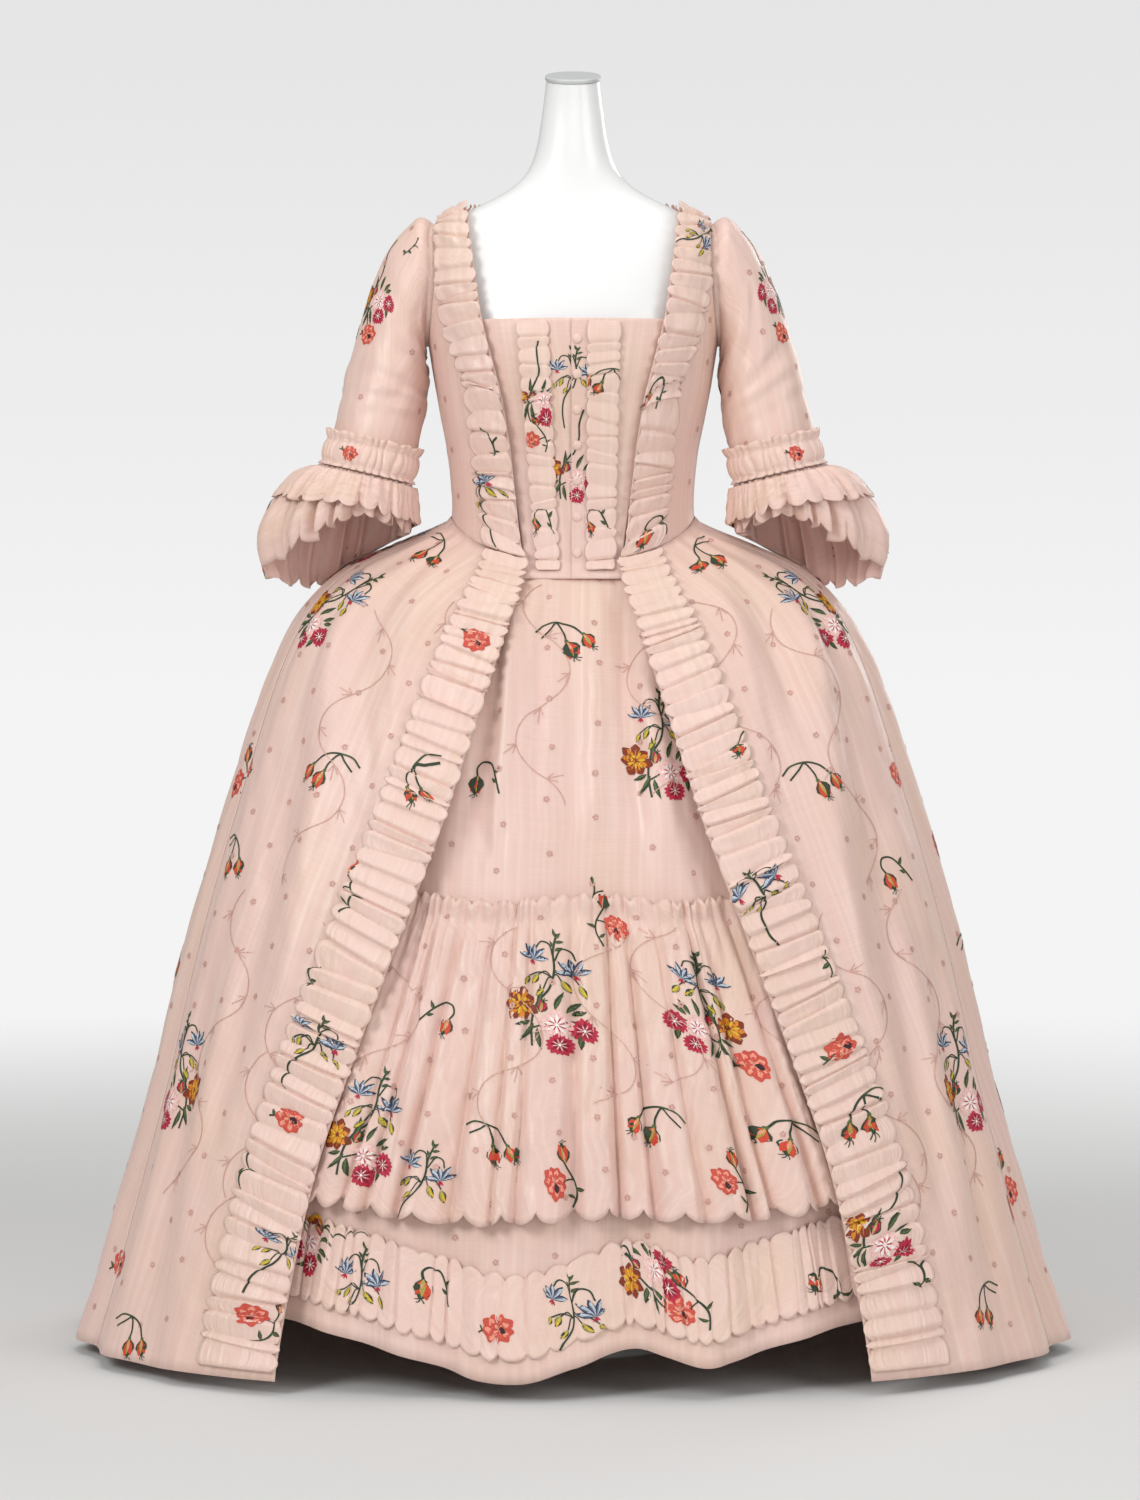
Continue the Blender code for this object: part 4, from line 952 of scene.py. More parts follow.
@dataclass
class Brocade:
    """The woven flowers on one piece of cloth, gathered into one mesh of thread."""

    sheet: Sheet
    corners: list[Array] = field(default_factory=list)
    faces: list[Array] = field(default_factory=list)
    colours: list[Array] = field(default_factory=list)
    count: int = 0

    def __post_init__(self) -> None:
        """Keeps the sheet's normals."""
        self.out = self.sheet.normals()

    def frame(self, row: float, column: float, reach: float = 0.018) -> tuple[Array, Array]:
        """How a step on the cloth there moves over the grid.

        Args:
            row, column: the place on the grid.
            reach: the half size of the patch that it is measured over, in metres.

        Returns:
            The place, and the 2 x 2 matrix from metres right and up to rows and columns.
        """
        sheet, here = self.sheet, np.array([row, column])

        def sample(r: float, c: float, values: Array) -> Array:
            return sheet.at(np.array([r]), np.array([c]), values)[0]

        steps = []
        for axis in (0, 1):
            one = np.eye(2)[axis]
            step = sample(*(here + one), sheet.points) - sample(*(here - one), sheet.points)
            n = max(1.0, reach / max(np.linalg.norm(step) / 2, 1e-6))
            low, high = here - one * n, here + one * n
            if axis == 0 or not sheet.closed:
                limit = sheet.points.shape[axis] - 1
                low, high = np.clip(low, 0, limit), np.clip(high, 0, limit)
            steps.append((sample(*high, sheet.points) - sample(*low, sheet.points)) / (high - low)[axis])
        down, across = steps
        out = unit(np.cross(down, across))
        up = unit(-down)
        right = np.cross(up, out)
        plane = np.array([[down @ right, across @ right], [down @ up, across @ up]])
        return here, np.linalg.inv(plane)

    def patch(self, rows: Array, columns: Array, colour: tuple[float, ...], lift: float) -> None:
        """Adds one patch of thread whose points lie at those rows and columns of the sheet."""
        limit = np.array(self.sheet.points.shape[:2]) - 1
        points = self.sheet.at(rows, columns, self.sheet.points)
        points = points + self.sheet.at(rows, columns, self.out) * lift
        inside = (rows >= 0) & (rows <= limit[0])
        if not self.sheet.closed:
            inside &= (columns >= 0) & (columns <= limit[1])
        index = np.arange(rows.size).reshape(rows.shape)
        cells = np.stack([index[:-1, :-1], index[:-1, 1:], index[1:, 1:], index[1:, :-1]], axis=-1)
        cells = cells.reshape(-1, 4)
        cells = cells[inside.ravel()[cells].all(axis=1)]
        a, b, c = (points.reshape(-1, 3)[cells[:, k]] for k in (0, 1, 2))
        out = self.sheet.at(rows, columns, self.out).reshape(-1, 3)[cells[:, 0]]
        wrong = (np.cross(b - a, c - a) * out).sum(axis=1) < 0
        cells[wrong] = cells[wrong][:, ::-1]
        if len(cells):
            self.corners.append(points.reshape(-1, 3))
            self.faces.append(cells + self.count)
            self.colours.append(np.tile(colour, (rows.size, 1)))
            self.count += rows.size

    def flower(self, kind: Flower, row: float, column: float, turn: float = 0.0, size: float = 1.0,
               flip: bool = False) -> None:
        """Weaves a flower.

        Args:
            kind: which flower.
            row, column: where its middle lies on the grid.
            turn: how far it is turned, in degrees, clockwise.
            size: its scale.
            flip: whether it is its mirror image.
        """
        here, step = self.frame(row, column)
        a = math.radians(turn)
        spin = np.array([[math.cos(a), math.sin(a)], [-math.sin(a), math.cos(a)]]) * size / 1000
        for grid, thread, layer in MOTIFS[kind].patches:
            local = grid * np.array([-1.0 if flip else 1.0, 1.0])
            moved = here + (local @ spin.T) @ step.T
            self.patch(moved[..., 0], moved[..., 1], THREADS[thread], LIFT + LAYER * layer)

    def flowers(self, places: Iterable[tuple], facing: int = -1) -> "Brocade":
        """Weaves flowers at given spots: rows of flower, x and z, and if wanted turn, size and flip."""
        for kind, x, z, *rest in places:
            self.flower(kind, *self.sheet.nearest(x, z, facing), *rest)
        return self

    def repeat(self, places: Iterable[tuple[Flower, float, float]], width: float, height: float,
               start: tuple[float, float] = (0.0, 0.0)) -> None:
        """Weaves the loom's own repeat over the whole flat piece, every second column half a repeat lower.
        A motif that would fall on another, as where pleats hide the cloth between them, is left out."""
        flat = self.sheet.flat[:, :self.sheet.points.shape[1]]
        taken: list[tuple[Array, float]] = []
        for kind, across, down in places:
            reach = 0.065 if kind is Flower.SPRAY else 0.034
            for i in range(-8, 9):
                for j in range(-8, 9):
                    spot = (start[0] + across + i * width,
                            start[1] - down - j * height - (i % 2) * height / 2)
                    away = ((flat - np.array(spot)) ** 2).sum(axis=-1)
                    if away.min() < 0.006 ** 2:
                        row, column = np.unravel_index(int(away.argmin()), away.shape)
                        here = self.sheet.points[row, column]
                        if any(np.linalg.norm(here - other) < reach + around for other, around in taken):
                            continue
                        taken.append((here, reach))
                        lean, flip = 10 * math.sin(i * 3 + j), (i + j) % 2 == 1
                        self.flower(kind, float(row), float(column), lean, 1.0, flip)

    def vine(self, row: float, column: float, length: float, swing: float, seed: int) -> None:
        """Weaves a thin meandering stem, in the ground's own tone, with little forked twigs."""
        here = np.array([row, column])
        line, steps = [here], int(length / 0.006)
        draw = np.random.default_rng(seed)
        phase = draw.uniform(0, 6.3)
        for k in range(steps):
            _, step = self.frame(*here)
            lean = math.radians(swing) * math.sin(phase + 6.3 * k * 0.006 / 0.21)
            here = here + step @ (np.array([math.sin(lean), -math.cos(lean)]) * 0.006)
            line.append(here)
            if not 0 <= here[0] < self.sheet.points.shape[0] - 1:
                break
            if k % 9 == 4:
                side = 1 if (k // 9) % 2 else -1
                for turn, long in ((50, 0.018), (20, 0.012), (80, 0.010)):
                    a = math.radians(turn) * side + lean
                    tip = step @ (np.array([math.sin(a), -math.cos(a)]) * long)
                    self.ribbon(np.array([here, here + tip * 0.5, here + tip]), 0.0009, "tone")
        self.ribbon(np.array(line), 0.0010, "vine")

    def ribbon(self, line: Array, width: float, thread: str) -> None:
        """Adds a narrow line of thread along rows and columns."""
        aside = []
        for k, (row, column) in enumerate(line):
            _, step = self.frame(row, column, 0.006)
            run = np.linalg.solve(step, line[min(k + 1, len(line) - 1)] - line[max(k - 1, 0)])
            aside.append(step @ (unit(np.array([run[1], -run[0]])) * width / 2))
        sides = np.stack([line - aside, line + aside], axis=1)
        self.patch(sides[..., 0], sides[..., 1], THREADS[thread], LIFT * 1.6)

    def build(self) -> bpy.types.Object | None:
        """Makes the flowers' object, named after the sheet, or nothing if there are none."""
        if not self.count:
            return None
        name = f"{self.sheet.name}_flowers"
        mesh = bpy.data.meshes.new(name)
        mesh.from_pydata(np.concatenate(self.corners).tolist(), [], np.concatenate(self.faces).tolist())
        colour = mesh.attributes.new("thread", "FLOAT_COLOR", "POINT")
        colour.data.foreach_set("color", np.concatenate(self.colours).astype("f").ravel())
        mesh.shade_smooth()
        mesh.materials.append(Finish.THREAD.material)
        return add(name, mesh)


@dataclass
class Sprigs:
    """The small tone-on-tone sprigs all over the silk: each is a ring of petals, laid by Geometry Nodes
    on a point of the cloth, facing out of it."""

    across: float = 0.056
    down: float = 0.060
    petal: float = 0.0016
    spread: float = 0.0023
    petals: int = 5
    seed: int = 7

    def places(self, sheet: Sheet) -> tuple[Array, Array]:
        """Points and normals of a loose half-drop repeat over the flat piece."""
        flat, out = sheet.flat[:, :sheet.points.shape[1]], sheet.normals()
        low, high = flat.min(axis=(0, 1)), flat.max(axis=(0, 1))
        draw = np.random.default_rng(self.seed)
        found = []
        for i, p in enumerate(np.arange(low[0], high[0], self.across)):
            for q in np.arange(low[1] + (i % 2) * self.down / 2, high[1], self.down):
                away = ((flat - (p, q) - draw.uniform(-0.006, 0.006, 2)) ** 2).sum(axis=-1)
                row, column = np.unravel_index(int(away.argmin()), away.shape)
                inner = 3 <= row < away.shape[0] - 3 and 3 <= column < away.shape[1] - 3
                if inner and away.min() < 0.008 ** 2:
                    found.append((row, column))
        rows, columns = (np.array(found)[:, k] for k in (0, 1))
        return sheet.points[rows, columns] + out[rows, columns] * LIFT, out[rows, columns]

    def tree(self) -> bpy.types.NodeTree:
        """The node tree that turns a cloud of points into sprigs."""
        made = bpy.data.node_groups.new("woven sprigs", "GeometryNodeTree")
        face = made.interface
        face.new_socket("Geometry", in_out="INPUT", socket_type="NodeSocketGeometry")
        for name, kind in (("Petal Radius", "NodeSocketFloat"), ("Spread", "NodeSocketFloat"),
                           ("Petals", "NodeSocketInt"), ("Thread", "NodeSocketColor"),
                           ("Material", "NodeSocketMaterial")):
            face.new_socket(name, in_out="INPUT", socket_type=kind)
        face.new_socket("Geometry", in_out="OUTPUT", socket_type="NodeSocketGeometry")
        given = made.nodes.new("NodeGroupInput").outputs
        petal = node(made, "GeometryNodeMeshCircle", {"fill_type": "NGON"}, Vertices=6,
                     Radius=given["Petal Radius"]).outputs[0]
        circle = node(made, "GeometryNodeMeshCircle", Vertices=given["Petals"], Radius=given["Spread"])
        sprig = node(made, "GeometryNodeInstanceOnPoints", Points=circle.outputs[0],
                     Instance=petal).outputs[0]
        sprig = node(made, "GeometryNodeRealizeInstances", Geometry=sprig).outputs[0]
        out = node(made, "GeometryNodeInputNamedAttribute", {"data_type": "FLOAT_VECTOR"},
                   Name="out").outputs[0]
        spin = node(made, "FunctionNodeRandomValue", {"data_type": "FLOAT"}, Seed=self.seed)
        spin.inputs[3].default_value = 6.28
        turned = node(made, "FunctionNodeAxisAngleToRotation", Axis=(0, 0, 1),
                      Angle=spin.outputs[1]).outputs[0]
        faced = node(made, "FunctionNodeAlignRotationToVector", {"axis": "Z"}, Rotation=turned,
                     Vector=out).outputs[0]
        laid = node(made, "GeometryNodeInstanceOnPoints", Points=given["Geometry"], Instance=sprig,
                    Rotation=faced).outputs[0]
        laid = node(made, "GeometryNodeRealizeInstances", Geometry=laid).outputs[0]
        laid = node(made, "GeometryNodeStoreNamedAttribute", {"data_type": "FLOAT_COLOR", "domain": "POINT"},
                    Geometry=laid, Name="thread", Value=given["Thread"]).outputs[0]
        laid = node(made, "GeometryNodeSetMaterial", Geometry=laid, Material=given["Material"]).outputs[0]
        made.links.new(laid, made.nodes.new("NodeGroupOutput").inputs[0])
        return made

    def build(self, sheet: Sheet) -> bpy.types.Object:
        """Makes one sheet's sprigs."""
        tree = bpy.data.node_groups.get("woven sprigs") or self.tree()
        points, out = self.places(sheet)
        cloud = bpy.data.meshes.new(f"{sheet.name}_sprig_places")
        cloud.from_pydata(points.tolist(), [], [])
        facing = cloud.attributes.new("out", "FLOAT_VECTOR", "POINT")
        facing.data.foreach_set("vector", out.astype("f").ravel())
        carrier = add(cloud.name, cloud)
        sockets = {item.name: item.identifier for item in tree.interface.items_tree if item.in_out == "INPUT"}
        grown = carrier.modifiers.new("sprigs", "NODES")
        grown.node_group = tree
        for name, value in (("Petal Radius", self.petal), ("Spread", self.spread), ("Petals", self.petals),
                            ("Thread", THREADS["tone"]), ("Material", Finish.THREAD.material)):
            grown[sockets[name]] = value
        shown = carrier.evaluated_get(bpy.context.evaluated_depsgraph_get())
        mesh = bpy.data.meshes.new_from_object(shown)
        mesh.name = f"{sheet.name}_sprigs"
        bpy.data.objects.remove(carrier)
        return add(mesh.name, mesh)


def hang(sheet: Sheet, finish: Finish,
         flowers: Brocade | None = None, sprigs: bool = False, inside: Finish | None = None,
         strip: tuple[float, float] | None = None) -> None:
    """Args:
        sheet: the cloth.
        finish: what it is made of.
        flowers: the flowers on it.
        sprigs: whether small sprigs cover it.
        inside: the finish of its inner face, where that differs.
        strip: the flat piece's width and length, where its edges wander too much to measure them.
    """
    made = sheet.build(finish, inside)
    woven = [flowers.build() if flowers else None, Sprigs().build(sheet) if sprigs else None]
    woven = [piece for piece in woven if piece]
    for piece in (made, *woven):
        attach(piece, "root")
    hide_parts(sheet.name)
    width, length, area = sheet.size
    width, length = strip or (width, length)
    log.info("%s: %.2f x %.2f m, %d faces, %s", sheet.name, width, length, len(made.data.polygons),
             ", ".join(piece.name for piece in woven) or "plain")


# The form and its stand.

def skin(index: Array, top: int, bottom: int) -> list[list[int]]:
    """The faces of a closed solid, from the numbers of its rings' points and of its two end points."""
    after = np.roll(index, -1, axis=1)
    sides = np.stack([index[:-1], index[1:], after[1:], after[:-1]], axis=-1).reshape(-1, 4).tolist()
    sides += [[top, a, b] for a, b in zip(index[0].tolist(), after[0].tolist())]
    return sides + [[bottom, b, a] for a, b in zip(index[-1].tolist(), after[-1].tolist())]


def solid(name: str, rings: Array, finish: Finish, stands_for: str) -> bpy.types.Object:
    total = rings.shape[0] * rings.shape[1]
    points = np.concatenate([rings.reshape(-1, 3), rings[:1].mean(axis=1), rings[-1:].mean(axis=1)])
    mesh = bpy.data.meshes.new(name)
    mesh.from_pydata(points.tolist(), [], skin(np.arange(total).reshape(rings.shape[:2]), total, total + 1))
    mesh.shade_smooth()
    mesh.set_sharp_from_angle(angle=math.radians(38))
    mesh.materials.append(finish.material)
    made = add(name, mesh)
    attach(made, "root")
    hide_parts(stands_for)
    log.info("%s: %d faces", name, len(mesh.polygons))
    return made


@dataclass
class DressForm:
    """The limbless form the gown hangs on: a smooth white torso and neck, a tilted grey cap, a pole and
    a round plate."""

    around: int = 96
    plate_radius: float = 0.130
    plate_height: float = 0.010
    pole_radius: float = 0.016
    hip_z: float = 0.800
    clearance: float = 0.0003

    def turned(self, name: str, profile: Sequence[tuple[float, float]], stands_for: str) -> None:
        """Makes a solid turned about the Z axis, from (radius, height) read downwards."""
        angle = once_round(self.around)
        radius, height = (np.array(profile)[:, k][:, None] for k in (0, 1))
        solid(name, place(radius * np.sin(angle), -radius * np.cos(angle), height), Finish.STEEL, stands_for)

    def build(self) -> None:
        """Makes the torso, the cap, the pole and the plate."""
        angle = once_round(self.around)
        top = float(FORM.rows[-1, 0])
        z = np.concatenate([np.linspace(top, 1.20, 44), np.linspace(1.193, self.hip_z, 26)])[:, None]
        rings = on_form(angle, z, 0.0)
        tilt = math.tan(CAP_TILT) * np.maximum(0.0, (z - 1.35) / (top - 1.35))
        rings[..., 2] += tilt * (rings[..., 1] - FORM.at(z, "shift"))
        solid("torso_shell", rings, Finish.ENAMEL, "form_torso")
        rows = []
        for rise, grow in ((0.0056, -0.0034), (0.0056, -0.0010), (0.0052, 0.0006), (0.0044, 0.0014),
                           (0.0016, 0.0014), (0.0008, 0.0010), (0.0004, 0.0000)):
            row = on_form(angle[0], top, grow)
            row[:, 2] += rise + math.tan(CAP_TILT) * (row[:, 1] - float(FORM.at(top, "shift")))
            rows.append(row)
        solid("neck_cap", np.array(rows), Finish.STEEL, "form_neck_cap")
        low, high, r = self.plate_height + self.clearance, self.hip_z - self.clearance, self.pole_radius
        self.turned("pole_tube", ((r, high), (r, low + 0.012), (r + 0.004, low + 0.008), (r + 0.004, low)),
                    "form_pole")
        edge, h = self.plate_radius, self.plate_height
        self.turned("base_plate", ((edge - 0.004, h), (edge - 0.0015, h - 0.0010), (edge, h - 0.003),
                                   (edge, 0.0008), (edge - 0.0008, 0.0)), "form_base")


# The gathered trims.

@dataclass
class Furbelow:
    """A strip of silk laid in flat pleats across itself and sewn down near both edges, which are cut in
    scallops, one to a pleat."""

    name: str
    pleats: int
    seed: int
    off: float = 0.0024          # how far its lowest parts stand off its bed
    height: float = 0.0055
    scallop: float = 0.0085
    stitch: float = 0.011        # from each edge to its line of stitches
    skew: float = 0.34           # how far a pleat's two ends wander, as a share of a pleat
    fine: int = 9                # rows to a pleat
    columns: int = 14

    def points(self, bed: Surface, width: Callable[[Array], Array]) -> Array:
        """Lays the pleats on a bed.

        Args:
            bed: points of bed(along, across): along from 0 to 1, across in metres from the trim's edge.
            width: the trim's width at each place along.

        Returns:
            The grid of points, a row to each place along.
        """
        draw = np.random.default_rng(self.seed)
        n = self.pleats
        steps = draw.uniform(0.62, 1.38, n)
        line = np.concatenate([[0.0], np.cumsum(steps)]) / steps.sum()
        ends = []
        for _ in range(2):
            moved = line + draw.uniform(-self.skew, self.skew, n + 1) / n * np.minimum(
                1.0, np.minimum(np.arange(n + 1), n - np.arange(n + 1)))
            ends.append(np.maximum.accumulate(moved + np.arange(n + 1) * 1e-6))
        tau = (1 - np.cos(np.linspace(0, math.pi, self.fine + 1))) / 2
        tau = mix(tau, np.linspace(0, 1, self.fine + 1), 0.35)[:-1]
        k = np.repeat(np.arange(n), self.fine)
        tau = np.tile(tau, n)
        share = np.linspace(0, 1, self.columns)
        share = mix(share, (1 - np.cos(share * math.pi)) / 2, 0.5)[None, :]
        span = [mix(side[k], side[k + 1], tau)[:, None] for side in ends]
        along = mix(span[0], span[1], share)
        bow = 2 * tau - 1
        lean, tall = draw.uniform(-1, 1, n)[k], draw.uniform(0.72, 1.15, n)[k]
        cut = self.scallop * (0.4 * np.sqrt(np.maximum(0.0, 1 - bow ** 2)) + 0.6 * (1 - bow ** 2) - 0.60)
        cuts = [cut * draw.uniform(0.6, 1.25, n)[k] for _ in range(2)]
        wide = width(along)
        across = mix(-cuts[0][:, None], wide + cuts[1][:, None], share)
        ramp = np.where(lean > 0, tau, 1 - tau)
        rise = (0.10 + 0.90 * ramp ** 0.75) * (1 - fade(ramp, 0.86, 1.0)) * tall
        inner = np.minimum(across, wide - across)
        dimple = np.exp(-((inner - self.stitch) / 0.0022) ** 2)
        free = fade(-inner, -self.stitch, 0.002)
        curl = [draw.uniform(-0.15, 1.0, n)[k][:, None] for _ in range(2)]
        lift = rise[:, None] * (1 - 0.50 * dimple) * (1 - 0.22 * free)
        curled = np.where(across < wide / 2, curl[0], curl[1])
        lift = lift + free * curled * 0.30 * (1 - np.abs(bow[:, None]) ** 3)
        lift = lift + 0.20 * crumple(along * n / 1.7, across / 0.040, self.seed + 1)
        lift = lift + 0.13 * crumple(along * n / 0.8, across / 0.013, self.seed + 2)
        here = bed(np.clip(along, 0, 1), across)
        step = 2e-3
        down = bed(np.clip(along + step, 0, 1), across) - bed(np.clip(along - step, 0, 1), across)
        aside = bed(np.clip(along, 0, 1), across + step) - bed(np.clip(along, 0, 1), across - step)
        rise = self.off + self.height * np.maximum(lift, 0.0)
        return here + unit(np.cross(down, aside)) * rise[..., None]


def edged(surface: Surface, slope: float, low: float, high: float, power: float = 1.0,
          level: float = 0.0) -> Surface:
    """A bed along a surface's edge u = 0, for a trim.

    Args:
        surface: the cloth under the trim, as surface(u, v).
        slope: how much higher, in v, the trim's far edge lies.
        low, high: the share of the edge that it starts and ends at.
        power: above 1, pleats lie closer together near the top.
        level: from 0 to 1, how far pleats away from the ends are turned to lie level.

    Returns:
        The bed, as bed(along, across in metres).
    """
    rows, columns = 260, 60
    v = steps_down(rows)
    u = np.linspace(0, 0.9, columns)[None, :]
    grid = surface(u, v)
    widths = np.linspace(-0.03, 0.15, 91)
    near = np.array([np.interp(widths, reach, u[0], left=np.nan) for reach in run_length(grid, 1)])
    table = Sheet("bed", grid)
    path = run_length(grid[:, 0], 0)
    path = path / path[-1]

    def bed(along: Array, across: Array) -> Array:
        fading = np.minimum(1.0, 6 * np.minimum(along, 1 - along))
        at = np.interp(mix(low, high, along ** power), path, v[:, 0])
        row = np.clip(at - slope * fading * np.clip(across / 0.09, 0, 1.1), 0, 1) * (rows - 1)
        c = np.clip((np.maximum(across, 0.0) + 0.03) / 0.18 * 90, 0, 89.999)
        k = c.astype(int)

        def reached(row: Array) -> Array:
            r = np.minimum(row.astype(int), rows - 2)
            share = [mix(near[r + j, k], near[r + j, k + 1], c - k) for j in (0, 1)]
            column = mix(share[0], share[1], row - r) / 0.9 * (columns - 1)
            return table.at(row, np.nan_to_num(column), table.points)

        points = reached(row)
        if level:
            turned = level * fade(along, 0.05, 0.30) * (1 - fade(along, 0.72, 0.98))
            edge = table.at(row, np.zeros(row.shape), table.points)[..., 2]
            target = mix(points[..., 2], edge - 0.12 * across, turned)
            pitch = float(grid[0, 0, 2] - grid[-1, 0, 2]) / (rows - 1)
            for _ in range(6):
                row = np.clip(row + 0.7 * (points[..., 2] - target) / pitch, 0, rows - 1)
                points = reached(row)
        behind = np.minimum(across, 0.0)[..., None]
        one = table.at(row, np.full(row.shape, 1.0), table.points)
        zero = table.at(row, np.zeros(row.shape), table.points)
        return points + unit(one - zero) * behind

    return bed


# Listed flowers: rows of flower, x, z, and then its turn, its size and whether it is mirrored.

F = Flower
ON_PETTICOAT = ((F.PAIR, -0.01, 0.80, -4, 1.0, True), (F.BUD, -0.09, 0.65), (F.SPRAY, 0.09, 0.69, 0, 0.95),
                (F.TWIG, 0.02, 0.53, 40))
ON_FLOUNCE = (
    (F.SPRAY, -0.03, 0.43), (F.SPRAY, 0.14, 0.41, 8, 0.9, True), (F.BUD, -0.14, 0.40, 20, 0.9, True),
    (F.LONE, 0.19, 0.35), (F.SPRAY, -0.22, 0.29, 0, 0.95), (F.IRIS, -0.17, 0.215, 6, 0.9),
    (F.PAIR, -0.09, 0.27, 4, 0.9, True), (F.PAIR, 0.09, 0.285), (F.PAIR, 0.235, 0.27),
    (F.ROSE, -0.01, 0.235), (F.ROSE, 0.17, 0.23, 10, 0.9), (F.ROSE, 0.035, 0.50, -10, 0.8, True))
ON_BAND = (
    (F.PINKS, -0.26, 0.17, 70, 0.8), (F.BUD, -0.145, 0.115), (F.IRIS, -0.235, 0.10, 0, 0.8),
    (F.LONE, -0.08, 0.08), (F.IRIS, -0.005, 0.075, 0, 0.9), (F.PINKS, 0.055, 0.155, -60, 0.8),
    (F.ROSE, 0.12, 0.10, -14), (F.BUD, 0.27, 0.105, 30))
ON_SKIRT = {
    1: ((F.PAIR, 0.15, 0.897, -6, 0.95), (F.SPRAY, 0.27, 0.845, -26, 0.95, True),
        (F.PAIR, 0.26, 0.65, 4, 1, True),
        (F.ROSE, 0.375, 0.66, 8, 0.9), (F.BUD, 0.355, 0.545, -14), (F.SPRAY, 0.42, 0.33, 6),
        (F.LONE, 0.485, 0.17, 0, 0.9), (F.PAIR, 0.45, 0.08, -14, 0.95), (F.TWIG, 0.30, 0.20, 10)),
    -1: ((F.PAIR, -0.16, 0.90, 4, 0.95, True), (F.SPRAY, -0.27, 0.84, 28, 0.95), (F.PAIR, -0.265, 0.655),
         (F.LONE, -0.38, 0.655, 200, 0.7), (F.PAIR, -0.38, 0.555, 16, 0.95, True),
         (F.SPRAY, -0.43, 0.33, -6, 1, True),
         (F.LONE, -0.53, 0.12, 0, 0.9), (F.PAIR, -0.485, 0.045, 10, 0.95, True))}
ON_SKIRT_TRIM = {
    1: ((F.BUD, 0.19, 0.69, 20, 0.8), (F.IRIS, 0.205, 0.515, -10, 0.8), (F.BUD, 0.30, 0.465, 200, 0.8),
        (F.LONE, 0.285, 0.363, 0, 0.8), (F.PAIR, 0.32, 0.295, -20, 0.8), (F.PINKS, 0.335, 0.19, 30, 0.8),
        (F.TWIG, 0.37, 0.13, 20)),
    -1: ((F.LONE, -0.105, 0.80, 40, 0.85), (F.PAIR, -0.165, 0.645, -60, 0.8), (F.ROSE, -0.255, 0.54, 0, 0.85),
         (F.TWIG, -0.316, 0.46), (F.IRIS, -0.285, 0.36, 0, 0.8), (F.LONE, -0.307, 0.29, 0, 0.7),
         (F.BUD, -0.355, 0.235, 30, 0.8), (F.IRIS, -0.32, 0.14, 10, 0.7), (F.ROSE, -0.325, 0.08, 40, 0.7))}
ON_BODICE_TRIM = {
    1: (
        (F.BUD, 0.092, 1.07, 30, 0.75), (F.BUD, 0.09, 0.925, 0, 0.75), (F.IRIS, 0.13, 1.245, 60, 0.6)),
    -1: (
        (F.TWIG, -0.092, 1.015, 10, 0.9), (F.IRIS, -0.098, 0.953, -30, 0.8))}
ON_FRONT = ((F.IRIS, -0.004, 1.078, 0, 0.7), (F.PINKS, -0.004, 1.005, 6, 0.8))
ON_NARROW_TRIM = {
    1: (
        (F.PAIR, 0.034, 1.084, 10, 0.75), (F.BUD, 0.026, 0.93, -20, 0.7)),
    -1: (
        (F.PINKS, -0.043, 1.085, 0, 0.7), (F.ROSE, -0.040, 1.020, 0, 0.6), (F.BUD, -0.034, 0.93, 0, 0.7))}
ON_SLEEVE = {1: ((F.PINKS, 0.215, 1.215, 16, 0.8, True), (F.LONE, 0.235, 1.142, 60, 0.7)),
             -1: ((F.PINKS, -0.215, 1.205, -16, 0.8), (F.LONE, -0.232, 1.14, 20, 0.7),
                  (F.TWIG, -0.178, 1.24, 30, 0.7))}
LOOM = ((F.SPRAY, 0.0, 0.0), (F.PAIR, 0.15, 0.10), (F.LONE, 0.02, 0.20), (F.PAIR, 0.0, 0.32),
        (F.ROSE, 0.17, 0.34))     # the loom's repeat: flower, and how far right and down
LOOM_WIDTH, LOOM_HEIGHT = 0.27, 0.46


# The garment.

